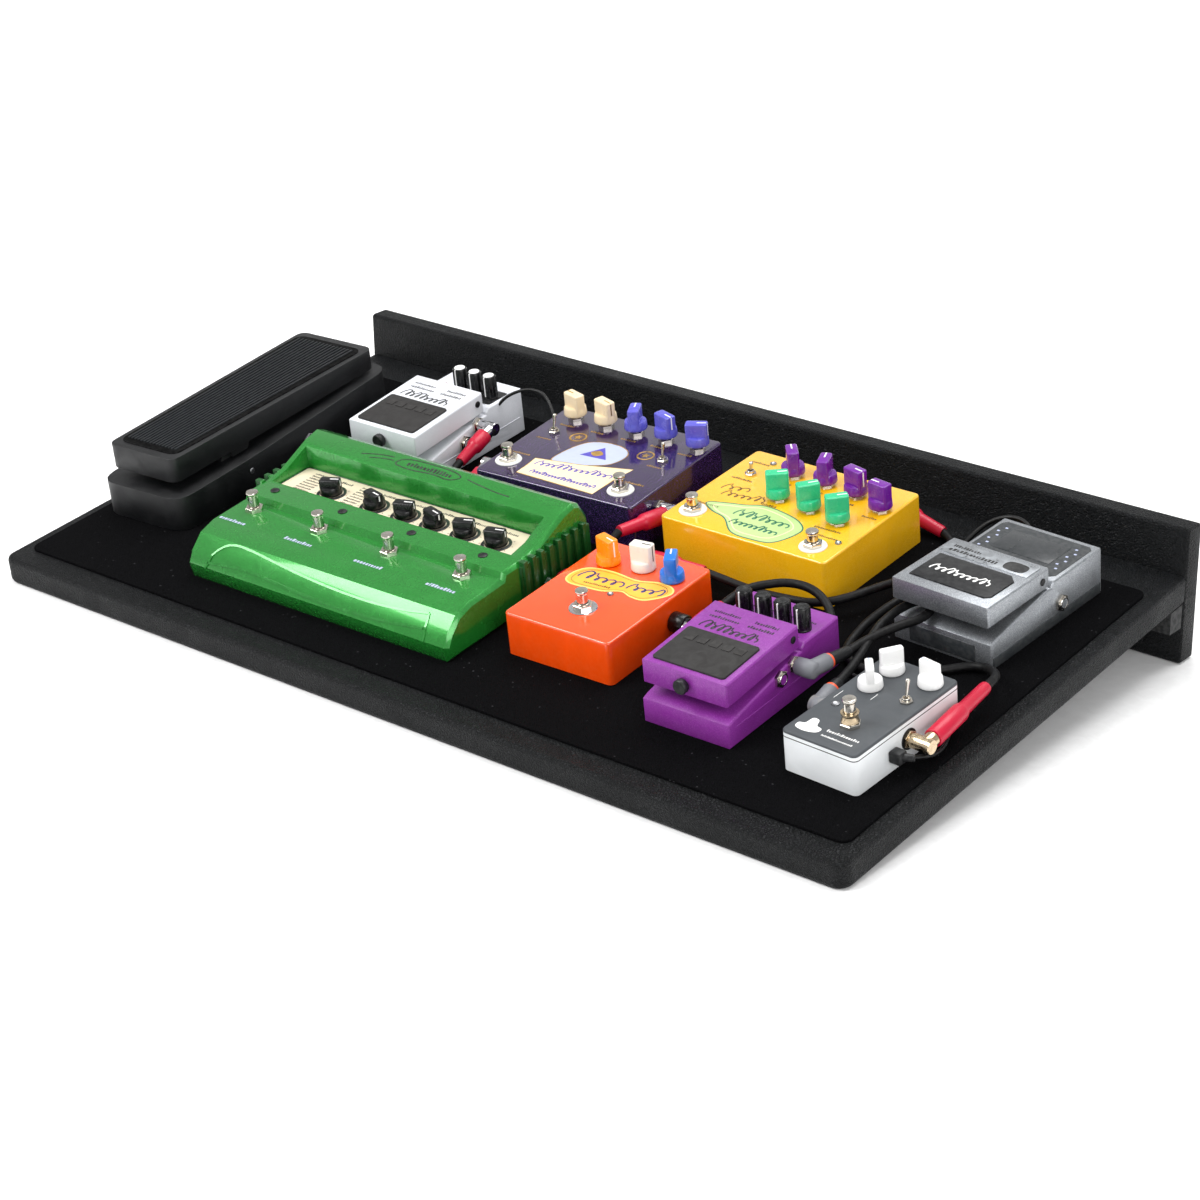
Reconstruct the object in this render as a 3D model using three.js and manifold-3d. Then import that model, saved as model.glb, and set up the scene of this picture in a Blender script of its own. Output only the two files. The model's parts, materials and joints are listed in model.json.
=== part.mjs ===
// A loaded pedalboard: a low sloping board with a stop rail along its back, nine effect pedals
// on its hook-and-loop carpet, and the patch leads between them.
//
// Millimetres, +Z up. The origin is on the floor below the middle of the board. +X runs along
// the board to the player's right, and +Y points away from the player, up the slope.
// Inside the deck group the axes are u (along the board), v (up the slope) and w (out of the
// deck), and each pedal's own group starts at its front left corner, on the carpet.

import * as THREE from "three";
import { mergeVertices } from "three/addons/utils/BufferGeometryUtils.js";
import Module from "manifold-3d";

const wasm = await Module();
wasm.setup();

// ---- driving dimensions -------------------------------------------------------------------

const GAP = 0.3; // left between pieces that touch

const board = {
  width: 800,
  depth: 424, // along the slope, front edge to rail
  thickness: 21,
  slope: 6.6, // degrees
  cornerRadius: 11,
  edgeRadius: 3,
};
const rail = { height: 106, thickness: 18.8, edgeRadius: 3 };
const cleat = { depth: 16, height: 17, endInset: 1 };
const carpet = { thickness: 1.7, front: 20, side: 11, back: 32, cornerRadius: 8 };

const WALL = 2.4; // die-cast case wall
const BASE_CLEARANCE = 0.4; // plunger or shaft to its bore, on the radius

const plunger = { radius: 4.1, headLip: 0.7, headHeight: 3, inside: 8, travel: 3 };
const switchNut = { wall: 2.7, height: 3, washerReach: 3.2, washerHeight: 1 };
const shaft = { radius: 3, inside: 5 };
const potNut = { wall: 2.2, clearance: 0.6 };
const knob = { skirtRadius: 9.2, skirtHeight: 7, barWidth: 8, barLength: 17.6 };
const lever = { radius: 0.9, tipRadius: 1.5, inside: 3.5, swing: 24 };
const bushing = { radius: 3.1, wall: 0.9, height: 3.6, nutRadius: 4.8, nutHeight: 1.8 };
const jack = { nutRadius: 6.2, thread: 4.6, nutHeight: 2.2, threadHeight: 3.4 };
const cable = { radius: 3.2, sides: 8, stepLength: 15 }; // patch lead
const plug = { barrelRadius: 5.4, reach: 14, sleeveRadius: 5.6, bootRadius: 4.4, tuck: 0.3 };

const shades = {
  vinyl: 0x24272a,
  carpet: 0x0d0d0e,
  black: 0x141516,
  green: 0x3f9f3f,
  pearl: 0xe6e8ec,
  violet: 0xa549b5,
  silver: 0xb8bcc0,
  aubergine: 0x4a3a5c,
  yellow: 0xf5c93a,
  orange: 0xff6a2e,
  white: 0xeef0f2,
  cream: 0xf1d9b3,
  periwinkle: 0x6b66c8,
  plum: 0x6a0f96,
  mint: 0x3cc48c,
  amber: 0xff9a1e,
  blue: 0x1f86e0,
  nickel: 0xd8d2c8,
};

// ---- shared shape helpers -----------------------------------------------------------------

const degrees = THREE.MathUtils.degToRad;

// A closed geometry as a manifold-3d solid.
function solidOf(geometry) {
  const plain = (geometry.index ? geometry.toNonIndexed() : geometry).clone();
  plain.deleteAttribute("normal");
  plain.deleteAttribute("uv");
  const merged = mergeVertices(plain, 1e-4);
  return new wasm.Manifold(
    new wasm.Mesh({
      numProp: 3,
      vertProperties: merged.attributes.position.array,
      triVerts: new Uint32Array(merged.index.array),
    }),
  );
}

// A manifold-3d solid as a geometry for a mesh.
function geometryOf(solid) {
  const { vertProperties, triVerts } = solid.getMesh();
  const geometry = new THREE.BufferGeometry();
  geometry.setAttribute("position", new THREE.BufferAttribute(vertProperties, 3));
  geometry.setIndex(new THREE.BufferAttribute(triVerts, 1));
  geometry.computeVertexNormals();
  return geometry;
}

const joined = (geometries) =>
  geometries.map(solidOf).reduce((whole, piece) => whole.add(piece));

const cutBy = (solid, geometries) =>
  geometries.map(solidOf).reduce((whole, piece) => whole.subtract(piece), solid);

// A rectangle from (x0, y0) to (x1, y1) with round corners.
function roundedRectangle(x0, y0, x1, y1, radius) {
  const shape = new THREE.Shape();
  const corners = [
    [x1 - radius, y0 + radius, -90],
    [x1 - radius, y1 - radius, 0],
    [x0 + radius, y1 - radius, 90],
    [x0 + radius, y0 + radius, 180],
  ];
  for (const [x, y, start] of corners)
    shape.absarc(x, y, radius, degrees(start), degrees(start + 90), false);
  return shape;
}

// A shape in the XY plane, extruded from z0 to z1, with its edges rounded off by edge.
function slab(shape, z0, z1, edge = 0, curveSegments = 3, bevelSegments = 2) {
  const geometry = new THREE.ExtrudeGeometry(shape, {
    depth: z1 - z0 - 2 * edge,
    curveSegments,
    bevelEnabled: edge > 0,
    bevelThickness: edge,
    bevelSize: edge,
    bevelOffset: -edge,
    bevelSegments,
  });
  return geometry.translate(0, 0, z0 + edge);
}

// A side profile of [y, z] points, extruded across X from x0 to x1.
function profileSlab(points, x0, x1, edge = 0) {
  const shape = new THREE.Shape(points.map(([y, z]) => new THREE.Vector2(y, z)));
  const geometry = slab(shape, x0, x1, edge, 3, 1);
  const axes = new THREE.Matrix4().makeBasis(
    new THREE.Vector3(0, 1, 0),
    new THREE.Vector3(0, 0, 1),
    new THREE.Vector3(1, 0, 0),
  );
  return geometry.applyMatrix4(axes);
}

// The same profile pulled in by a wall, corner by corner.
function inset(points, wall) {
  const count = points.length;
  const edgeAt = (i) => {
    const [a, b] = [points[i % count], points[(i + 1) % count]];
    const length = Math.hypot(b[0] - a[0], b[1] - a[1]);
    const normal = [-(b[1] - a[1]) / length, (b[0] - a[0]) / length];
    return { normal, offset: normal[0] * a[0] + normal[1] * a[1] + wall };
  };
  return points.map((_, i) => {
    const [p, q] = [edgeAt(i + count - 1), edgeAt(i)];
    const cross = p.normal[0] * q.normal[1] - p.normal[1] * q.normal[0];
    return [
      (p.offset * q.normal[1] - q.offset * p.normal[1]) / cross,
      (q.offset * p.normal[0] - p.offset * q.normal[0]) / cross,
    ];
  });
}

const box = (x0, y0, z0, x1, y1, z1) =>
  new THREE.BoxGeometry(x1 - x0, y1 - y0, z1 - z0).translate(
    (x0 + x1) / 2,
    (y0 + y1) / 2,
    (z0 + z1) / 2,
  );

// An upright cylinder or cone from z0 to z1, centred on x, y.
function upright(radius, z0, z1, { x = 0, y = 0, sides = 12, top = radius } = {}) {
  return new THREE.CylinderGeometry(top, radius, z1 - z0, sides)
    .rotateX(Math.PI / 2)
    .rotateZ(Math.PI / sides)
    .translate(x, y, (z0 + z1) / 2);
}

// A cylinder along X from x0 to x1.
const crossways = (radius, x0, x1, y, z, sides = 12) =>
  new THREE.CylinderGeometry(radius, radius, x1 - x0, sides)
    .rotateZ(Math.PI / 2)
    .translate((x0 + x1) / 2, y, z);

// A turned piece about Z from [radius, z] points, the first and last of them on the axis.
function turned(points, sides) {
  const profile = points.map(([radius, z]) => new THREE.Vector2(radius, z));
  return new THREE.LatheGeometry(profile, sides).rotateX(Math.PI / 2);
}

function meshNode(name, geometry, color, metalness = 0, roughness = 0.5) {
  const material = new THREE.MeshStandardMaterial({ color, metalness, roughness });
  const mesh = new THREE.Mesh(geometry, material);
  mesh.name = name;
  return mesh;
}

// ---- the groups that everything is placed in --------------------------------------------------

const deckAngle = degrees(board.slope);
const rearRise = board.depth * Math.sin(deckAngle); // height of the deck's underside at the rail
const railFront = board.depth * Math.cos(deckAngle) + GAP;
const frontReach = board.thickness * Math.sin(deckAngle);
const middle = (railFront + rail.thickness - frontReach) / 2;
const edgeLift = board.edgeRadius * Math.sin(deckAngle);

const group = new THREE.Group();
const deck = new THREE.Group();
deck.position.set(0, -middle, -edgeLift);
deck.rotation.x = deckAngle;
group.add(deck);

const carpetTop = board.thickness + GAP + carpet.thickness;

// A pedal's group, on the carpet, its front left corner at u, v and turned by yaw degrees.
function placeOnCarpet(u, v, yaw) {
  const place = new THREE.Group();
  place.position.set(u, v, carpetTop + GAP);
  place.rotation.z = degrees(yaw);
  deck.add(place);
  return place;
}

// ---- board ------------------------------------------------------------------------------------

function boardPieces() {
  const half = board.width / 2;
  const outline = roundedRectangle(-half, 0, half, board.depth + 60, board.cornerRadius);
  const blank = slab(outline, 0, board.thickness, board.edgeRadius, 4);
  const behindRail = box(-board.width, 0, -200, board.width, 200, 200)
    .rotateX(-deckAngle)
    .translate(0, board.depth, 0);
  deck.add(meshNode("deck_board", geometryOf(cutBy(solidOf(blank), [behindRail])), shades.vinyl));

  const sheet = slab(
    roundedRectangle(
      -half + carpet.side,
      carpet.front,
      half - carpet.side,
      board.depth - carpet.back,
      carpet.cornerRadius,
    ),
    board.thickness + GAP,
    carpetTop,
  );
  deck.add(meshNode("hook_carpet", sheet, shades.carpet, 0, 1));

  const railShape = roundedRectangle(0, 0, rail.thickness, rail.height, rail.edgeRadius);
  const railBar = slab(railShape, -half, half, rail.edgeRadius / 2, 3, 1).applyMatrix4(
    new THREE.Matrix4().makeBasis(
      new THREE.Vector3(0, 1, 0),
      new THREE.Vector3(0, 0, 1),
      new THREE.Vector3(1, 0, 0),
    ),
  );
  const backRail = meshNode("back_rail", railBar, shades.vinyl);
  backRail.position.y = railFront - middle;
  group.add(backRail);

  const back = railFront - GAP - middle;
  const front = back - cleat.depth;
  const under = (y) => rearRise - (back - y) * Math.tan(deckAngle) - GAP - edgeLift;
  const cleatProfile = [
    [front, under(front) - cleat.height],
    [back, under(front) - cleat.height],
    [back, under(back)],
    [front, under(front)],
  ];
  const cleatEnd = half - cleat.endInset;
  const cleatBar = profileSlab(cleatProfile, -cleatEnd, cleatEnd);
  group.add(meshNode("rail_cleat", cleatBar, shades.black));
}

// ---- controls ---------------------------------------------------------------------------------

const switchBore = () => plunger.radius + BASE_CLEARANCE;
const shaftBore = () => shaft.radius + BASE_CLEARANCE;

// What a control adds to the case it stands in, and what it cuts out of it, in the case's frame.
// top is the height of the case under the control.
function switchSeat({ x, y, top, washer = true }) {
  const nutBase = top + (washer ? switchNut.washerHeight : 0);
  const sunk = top - WALL / 2;
  const nutRadius = switchBore() + switchNut.wall;
  const washerRadius = nutRadius + switchNut.washerReach;
  const adds = [upright(nutRadius, sunk, nutBase + switchNut.height, { x, y, sides: 6 })];
  if (washer) adds.push(upright(washerRadius, sunk, nutBase, { x, y, sides: 16 }));
  const bore = upright(switchBore(), top - 20, top + 20, { x, y, sides: 10 });
  return { adds, cuts: [bore] };
}

function potSeat({ x, y, top, nut }) {
  const bore = upright(shaftBore(), top - 10, top + 20, { x, y, sides: 8 });
  const adds = nut
    ? [upright(shaftBore() + potNut.wall, top - WALL / 2, top + nut, { x, y, sides: 6 })]
    : [];
  return { adds, cuts: [bore] };
}

function toggleSeat({ x, y, top }) {
  const sunk = top - WALL / 2;
  const bore = bushing.radius - bushing.wall;
  return {
    adds: [
      upright(bushing.nutRadius, sunk, top + bushing.nutHeight, { x, y, sides: 6 }),
      upright(bushing.radius, sunk, top + bushing.height, { x, y, sides: 10 }),
    ],
    cuts: [upright(bore, top - 10, top + 20, { x, y, sides: 10 })],
  };
}

// Where a jack is on its pedal, and the direction it faces. along is its place along that face.
const faceTurn = { right: 0, rear: 90, left: 180 };

function jackPoint({ face, along, z }, { width, depth }) {
  if (face === "rear") return [along, depth, z];
  return [face === "right" ? width : 0, along, z];
}

// A jack's thread and nut, standing out of the face they are on.
function jackSeat(one, pedal) {
  const ring = (radius, height, sides) =>
    crossways(radius, -WALL / 2, height, 0, 0, sides)
      .rotateZ(degrees(faceTurn[one.face]))
      .translate(...jackPoint(one, pedal));
  return {
    adds: [ring(jack.nutRadius, jack.nutHeight, 6), ring(jack.thread, jack.threadHeight, 10)],
    cuts: [],
  };
}

// A footswitch plunger, at rest at the top of its travel.
function addPlunger(place, name, { x, y, top, washer = true, rise }) {
  const nutTop = switchNut.height + (washer ? switchNut.washerHeight : 0);
  const headRadius = plunger.radius + plunger.headLip;
  const shoulder = Math.max(nutTop + plunger.travel + GAP, rise - plunger.headHeight);
  const shape = turned(
    [
      [0, -plunger.inside],
      [plunger.radius, -plunger.inside],
      [plunger.radius, shoulder],
      [headRadius, shoulder + plunger.headHeight / 3],
      [headRadius, shoulder + plunger.headHeight - 0.5],
      [headRadius - 0.5, shoulder + plunger.headHeight],
      [0, shoulder + plunger.headHeight],
    ],
    10,
  );
  const mesh = meshNode(name, shape, shades.nickel, 1, 0.25);
  mesh.position.set(x, y, top);
  place.add(mesh);
}

// A pointer knob on its shaft. angle is where it points, in degrees clockwise from the back.
function addKnob(place, name, { x, y, top, nut, rise, angle, color, small = 1 }) {
  const base = nut + potNut.clearance;
  const skirt = upright(knob.skirtRadius * small, base, base + knob.skirtHeight * small, {
    sides: 16,
    top: knob.skirtRadius * small * 0.95,
  });
  const halfLength = (knob.barLength * small) / 2;
  const halfWidth = (knob.barWidth * small) / 2;
  const bar = new THREE.CylinderGeometry(1, 1, rise - base, 4, 1)
    .rotateX(Math.PI / 2)
    .rotateZ(Math.PI / 4)
    .scale(Math.SQRT2 * halfWidth, Math.SQRT2 * halfLength, 1)
    .translate(0, 0, (base + rise) / 2);
  const stub = upright(shaft.radius, -shaft.inside, base + 1, { sides: 8 });
  const mesh = meshNode(name, geometryOf(joined([skirt, bar, stub])), color);
  mesh.position.set(x, y, top);
  mesh.rotation.z = degrees(-angle);
  place.add(mesh);
}

// A toggle lever, pivoted inside its bushing and thrown to one end of its swing.
function addLever(place, name, { x, y, top, length, toward = 1 }) {
  const shape = turned(
    [
      [0, -lever.inside],
      [lever.radius, -lever.inside],
      [lever.radius, 1],
      [lever.tipRadius, length - 1],
      [lever.tipRadius * 0.6, length],
      [0, length],
    ],
    8,
  );
  const mesh = meshNode(name, shape, shades.nickel, 1, 0.25);
  mesh.position.set(x, y, top + bushing.height - 1);
  mesh.rotation.x = degrees((-toward * lever.swing) / 2);
  place.add(mesh);
}

// ---- box pedals -------------------------------------------------------------------------------

// A die-cast box pedal: the case with its switch, pot and toggle seats, then what moves in them.
function boxPedal(spec) {
  const { name, place, width, depth, height, color } = spec;
  const at = placeOnCarpet(...place);
  const { switches = [], knobs = [], toggles = [], jacks = [] } = spec;
  const outer = slab(roundedRectangle(0, 0, width, depth, 4), 0, height, 1.4, 2, 1);
  const cavity = slab(
    roundedRectangle(WALL, WALL, width - WALL, depth - WALL, 2),
    -1,
    height - WALL,
    0,
    1,
  );
  const seats = [
    ...switches.map((one) => switchSeat({ ...one, top: height })),
    ...knobs.map((one) => potSeat({ ...one, top: height, nut: spec.potNut })),
    ...toggles.map((one) => toggleSeat({ ...one, top: height })),
    ...jacks.map((one) => jackSeat(one, spec)),
  ];
  const shell = cutBy(solidOf(outer), [cavity]);
  const added = seats.flatMap((seat) => seat.adds).map(solidOf);
  const whole = added.reduce((sum, piece) => sum.add(piece), shell);
  const cut = cutBy(whole, seats.flatMap((seat) => seat.cuts));
  at.add(meshNode(`${name}_case`, geometryOf(cut), color, 0.2, 0.3));

  for (const [i, one] of switches.entries())
    addPlunger(at, `${name}_footswitch${switches.length > 1 ? `_${i + 1}` : ""}`, {
      ...one,
      top: height,
      rise: spec.switchRise,
    });
  for (const [i, one] of knobs.entries())
    addKnob(at, `${name}_knob_${i + 1}`, {
      ...one,
      top: height,
      nut: spec.potNut,
      rise: spec.knobRise,
    });
  for (const [i, one] of toggles.entries())
    addLever(at, `${name}_toggle${toggles.length > 1 ? `_${i + 1}` : ""}`, {
      ...one,
      top: height,
    });
}

const boxPedals = [
  {
    name: "purple",
    place: [-112.6, 241.5, 3.4],
    width: 148,
    depth: 123,
    height: 39,
    color: shades.aubergine,
    potNut: 4.4,
    knobRise: 22.5,
    switchRise: 14,
    switches: [
      { x: 15, y: 24 },
      { x: 124, y: 20.5 },
    ],
    toggles: [
      { x: 18, y: 79.5, length: 12.5 },
      { x: 124.5, y: 75.5, length: 12.5 },
    ],
    knobs: [
      { x: 20, y: 106, angle: -75, color: shades.cream },
      { x: 49.5, y: 106, angle: 105, color: shades.cream },
      { x: 78.5, y: 106, angle: -28, color: shades.periwinkle },
      { x: 107, y: 106, angle: 105, color: shades.periwinkle },
      { x: 138, y: 104, angle: 62, color: shades.periwinkle },
    ],
    jacks: [
      { face: "right", along: 33.6, z: 24 },
      { face: "left", along: 34, z: 24 },
    ],
  },
  {
    name: "yellow",
    place: [60.2, 252.4, 0.2],
    width: 149,
    depth: 123,
    height: 39,
    color: shades.yellow,
    potNut: 2.6,
    knobRise: 22.5,
    switchRise: 13.5,
    switches: [
      { x: 17, y: 19 },
      { x: 127, y: 17 },
    ],
    toggles: [{ x: 20, y: 87, length: 7.5 }],
    knobs: [
      { x: 49.5, y: 101, angle: -42, color: shades.plum },
      { x: 79, y: 101, angle: -22, color: shades.plum },
      { x: 109, y: 97.5, angle: 102, color: shades.plum },
      { x: 137.5, y: 87.5, angle: -82, color: shades.plum },
      { x: 61.5, y: 65, angle: 52, color: shades.mint },
      { x: 92, y: 61.5, angle: 40, color: shades.mint },
      { x: 121.5, y: 56, angle: 45, color: shades.mint },
    ],
    jacks: [{ face: "rear", along: 105, z: 18 }],
  },
  {
    name: "orange",
    place: [47.6, 89.3, 1.4],
    width: 94,
    depth: 122,
    height: 34,
    color: shades.orange,
    potNut: 0,
    knobRise: 20.5,
    switchRise: 15,
    switches: [{ x: 47, y: 32 }],
    knobs: [
      { x: 22, y: 94, angle: 105, color: shades.amber },
      { x: 50, y: 99, angle: 82, color: shades.white },
      { x: 78, y: 96, angle: -32, color: shades.blue },
    ],
    jacks: [
      { face: "rear", along: 20, z: 18 },
      { face: "right", along: 72.7, z: 16 },
      { face: "left", along: 72.7, z: 16 },
    ],
  },
  {
    name: "mini",
    place: [304.5, 68.5, -2.7],
    width: 61,
    depth: 113,
    height: 31,
    color: shades.white,
    potNut: 0,
    knobRise: 18,
    switchRise: 21,
    switches: [{ x: 35.5, y: 28.5, washer: false }],
    toggles: [{ x: 48, y: 72, length: 14, toward: 1 }],
    knobs: [
      { x: 17, y: 74, angle: -38, color: shades.white },
      { x: 17, y: 98, angle: 36, color: shades.white },
      { x: 48.5, y: 98, angle: -80, color: shades.white },
    ],
    jacks: [
      { face: "right", along: 56, z: 15.5 },
      { face: "left", along: 56, z: 15.5 },
    ],
  },
];

// ---- compact pedals ---------------------------------------------------------------------------

// A compact pedal: a wedge-fronted base, and a treadle hinged on a cross pin near its rear that
// tips down over the front of the base.
function compactPedal(spec) {
  const { name, place, width, depth, color } = spec;
  const { lip, slopeTop, rearTop, hingeY, treadle, knobs = [], jacks = [] } = spec;
  const at = placeOnCarpet(...place);
  const rearFront = treadle.back + treadle.rearGap;
  const baseProfile = [
    [0, 0],
    [depth, 0],
    [depth, rearTop],
    [rearFront + 3, rearTop],
    [rearFront, rearTop - 3],
    [rearFront, slopeTop],
    [treadle.back - 6, slopeTop],
    [6, lip + 2],
    [0, lip],
  ];
  const cavity = inset(baseProfile, WALL);
  cavity[0][1] = -1;
  cavity[1][1] = -1;
  const earInset = WALL + treadle.side + GAP * 2;
  const pinZ = treadle.rearTop - treadle.top - 5;
  const ear = (x) =>
    profileSlab(
      [
        [hingeY - 5, slopeTop - 8],
        [hingeY + 3.6, slopeTop - 8],
        [hingeY + 3.6, pinZ + 3.4],
        [hingeY - 3.6, pinZ + 3.4],
      ],
      x,
      x + WALL,
    );
  const knobPosts = knobs.map(([x, y]) =>
    upright(spec.knobRadius, rearTop - WALL / 2, rearTop + spec.knobHeight, {
      x,
      y,
      sides: 14,
      top: spec.knobRadius * 0.94,
    }),
  );
  const seats = jacks.map((one) => jackSeat(one, spec));
  const shell = cutBy(solidOf(profileSlab(baseProfile, 0, width, 1)), [
    profileSlab(cavity, WALL, width - WALL),
  ]);
  const whole = [ear(earInset), ear(width - earInset - WALL), ...knobPosts]
    .concat(seats.flatMap((seat) => seat.adds))
    .map(solidOf)
    .reduce((sum, piece) => sum.add(piece), shell);
  const pinBore = crossways(spec.pinRadius + BASE_CLEARANCE, 0, width, hingeY, pinZ, 10);
  const slotted = cutBy(whole, [pinBore]);
  at.add(meshNode(`${name}_case`, geometryOf(slotted), color, 0.2, 0.35));

  const coverProfile = [
    [treadle.front, treadle.frontTop - treadle.drop],
    [treadle.frontSkirt, treadle.frontTop - treadle.drop],
    [treadle.back, slopeTop + treadle.lift],
    [treadle.back, treadle.rearTop],
    [treadle.front, treadle.frontTop],
  ];
  const hollow = [
    [treadle.front + treadle.top, 0],
    [treadle.back - treadle.top, 0],
    [treadle.back - treadle.top, treadle.rearTop - treadle.top],
    [treadle.front + treadle.top, treadle.frontTop - treadle.top],
  ];
  const cover = cutBy(solidOf(profileSlab(coverProfile, treadle.inset, width - treadle.inset, 1)), [
    profileSlab(hollow, treadle.inset + treadle.side, width - treadle.inset - treadle.side),
  ]);
  const pin = crossways(
    spec.pinRadius,
    treadle.inset + treadle.side / 2,
    width - treadle.inset - treadle.side / 2,
    hingeY,
    pinZ,
    10,
  );
  const treadleGeometry = geometryOf(cover.add(solidOf(pin))).translate(0, -hingeY, -pinZ);
  const mesh = meshNode(`${name}_treadle`, treadleGeometry, color, 0.2, 0.35);
  mesh.position.set(0, hingeY, pinZ);
  at.add(mesh);
}

const compactTreadle = {
  front: 1.5,
  back: 84,
  frontTop: 48.2,
  rearTop: 52.6,
  drop: 17.5,
  frontSkirt: 12,
  lift: 3,
  rearGap: 1,
  top: 2.6,
  side: 2.6,
  inset: 1,
};
const compactShape = {
  width: 73,
  depth: 129,
  lip: 18,
  slopeTop: 32.5,
  rearTop: 37.5,
  hingeY: 77,
  pinRadius: 2,
  knobRadius: 5.6,
  knobHeight: 17.5,
  treadle: compactTreadle,
};
const tunerTreadle = {
  ...compactTreadle,
  front: -1.5,
  back: 70,
  frontTop: 49,
  rearTop: 47.5,
  drop: 16.5,
  frontSkirt: 10,
  lift: 1.5,
};

const compactPedals = [
  {
    ...compactShape,
    name: "white",
    place: [-249.8, 243.3, 0.3],
    color: shades.pearl,
    knobs: [31, 46.5, 62].map((x) => [x, 104]),
    knobHeight: 19.5,
    jacks: [
      { face: "right", along: 56, z: 20 },
      { face: "right", along: 73.5, z: 29 },
    ],
  },
  {
    ...compactShape,
    name: "violet",
    place: [188, 68.7, 0.6],
    color: shades.violet,
    knobs: [12.5, 28.8, 45.1, 61.4].map((x) => [x, 103]),
    jacks: [
      { face: "right", along: 58.5, z: 24.5 },
      { face: "right", along: 74, z: 28 },
      { face: "left", along: 74, z: 28 },
    ],
  },
  {
    ...compactShape,
    name: "tuner",
    place: [269.8, 248.5, -3.3],
    width: 84,
    depth: 132,
    lip: 19,
    slopeTop: 31,
    rearTop: 35,
    hingeY: 62,
    color: shades.silver,
    treadle: tunerTreadle,
    jacks: [
      { face: "right", along: 82, z: 15 },
      { face: "left", along: 82, z: 15 },
    ],
  },
];

// ---- four-switch modeller ---------------------------------------------------------------------

const modeller = {
  place: [-242.1, 52.7, 0.6],
  width: 263,
  depth: 165,
  deckTop: 36,
  ribTop: 41,
  panelTop: 36,
  hoodTop: 59,
  ribFront: 68,
  panelFront: 91,
  panelBack: 131,
  switches: [21.5, 90, 161, 232],
  knobs: [57, 102, 133.5, 162.5, 193, 223.5],
  angles: [65, 102, 72, 104, 68, 74],
};

function modellerPedal() {
  const { place, width, depth, deckTop, ribTop, panelTop, hoodTop } = modeller;
  const { ribFront, panelFront, panelBack } = modeller;
  const at = placeOnCarpet(...place);
  const outer = [
    [2, 0],
    [depth, 0],
    [depth, hoodTop - 16],
    [depth - 8, hoodTop - 3],
    [depth - 15, hoodTop],
    [panelBack + 5, hoodTop - 3],
    [panelFront + 16, ribTop + 3],
    [panelFront - 2, ribTop],
    [ribFront, ribTop],
    [ribFront - 2, deckTop],
    [30, deckTop - 1],
    [16, deckTop - 5],
    [5, deckTop - 15],
    [0, 12],
  ];
  const cavity = [
    [2 + WALL, -1],
    [depth - WALL, -1],
    [depth - WALL, hoodTop - 18],
    [panelBack + 5 + WALL, hoodTop - 18],
    [panelBack + 5, panelTop - WALL],
    [30, panelTop - WALL],
    [8, deckTop - 19],
    [2 + WALL, 12],
  ];
  const pocket = box(8, panelFront, panelTop, width - 13, panelBack, hoodTop + 20);
  const vents = [-1, 1].flatMap((side) => {
    const face = side > 0 ? width : 0;
    const near = face - side * WALL;
    const wall = (reach, y0, y1, top) =>
      box(Math.min(near, face + side * reach), y0, 3, Math.max(near, face + side * reach), y1, top);
    const block = wall(2.2, 84, 162, 38);
    const fins = Array.from({ length: 8 }, (_, i) => wall(4.6, 85 + i * 9.6, 89 + i * 9.6, 42));
    return [block, ...fins];
  });
  const switches = modeller.switches.map((x) => ({ x, y: 56.6, top: deckTop - 0.4, washer: false }));
  const knobs = modeller.knobs.map((x, i) => ({
    x,
    y: 105,
    top: panelTop,
    nut: 0,
    angle: modeller.angles[i],
  }));
  const seats = [...switches.map(switchSeat), ...knobs.map(potSeat)];
  const shell = cutBy(solidOf(profileSlab(outer, 0, width, 3)), [
    profileSlab(cavity, WALL + 1, width - WALL - 1),
    pocket,
  ]);
  const whole = [...vents, ...seats.flatMap((seat) => seat.adds)]
    .map(solidOf)
    .reduce((sum, piece) => sum.add(piece), shell);
  const body = geometryOf(cutBy(whole, seats.flatMap((seat) => seat.cuts)));
  at.add(meshNode("green_case", body, shades.green, 0.4, 0.3));
  for (const [i, one] of switches.entries())
    addPlunger(at, `green_footswitch_${i + 1}`, { ...one, rise: 16 });
  for (const [i, one] of knobs.entries())
    addKnob(at, `green_knob_${i + 1}`, { ...one, rise: 13, small: 0.95, color: shades.black });
}

// ---- wah pedal --------------------------------------------------------------------------------

const wah = {
  place: [-381.5, 93.5, 3.1],
  heelWidth: 86,
  toeWidth: 95,
  length: 254,
  heelHeight: 28,
  toeHeight: 38,
  cornerRadius: 17,
  pivotY: 82,
  pivotZ: 38,
  pivotRadius: 4,
  treadleInset: 8,
  treadleTop: { heel: 58.5, toe: 56 },
  treadleSkirt: 24,
  heelGap: 10,
  toeGap: 1.2,
  jack: { face: "right", along: 150, z: 15 },
  jackFace: 87.5, // the side wall's distance out, where the jack is
};

// The wah's outline seen from above, pulled in by a margin: narrow at the heel, wide at the toe.
function wahOutline(margin, radius) {
  const { heelWidth, toeWidth, length } = wah;
  const flare = (toeWidth - heelWidth) / 2;
  const middleX = heelWidth / 2;
  const corners = [
    [middleX - heelWidth / 2 + margin, margin],
    [middleX + heelWidth / 2 - margin, margin],
    [middleX + heelWidth / 2 + flare - margin, length - margin],
    [middleX - heelWidth / 2 - flare + margin, length - margin],
  ].map(([x, y]) => new THREE.Vector2(x, y));
  const shape = new THREE.Shape();
  corners.forEach((corner, i) => {
    const before = corners[(i + 3) % 4].clone().sub(corner).setLength(radius).add(corner);
    const after = corners[(i + 1) % 4].clone().sub(corner).setLength(radius).add(corner);
    if (i === 0) shape.moveTo(before.x, before.y);
    else shape.lineTo(before.x, before.y);
    shape.quadraticCurveTo(corner.x, corner.y, after.x, after.y);
  });
  shape.closePath();
  return shape;
}

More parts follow.
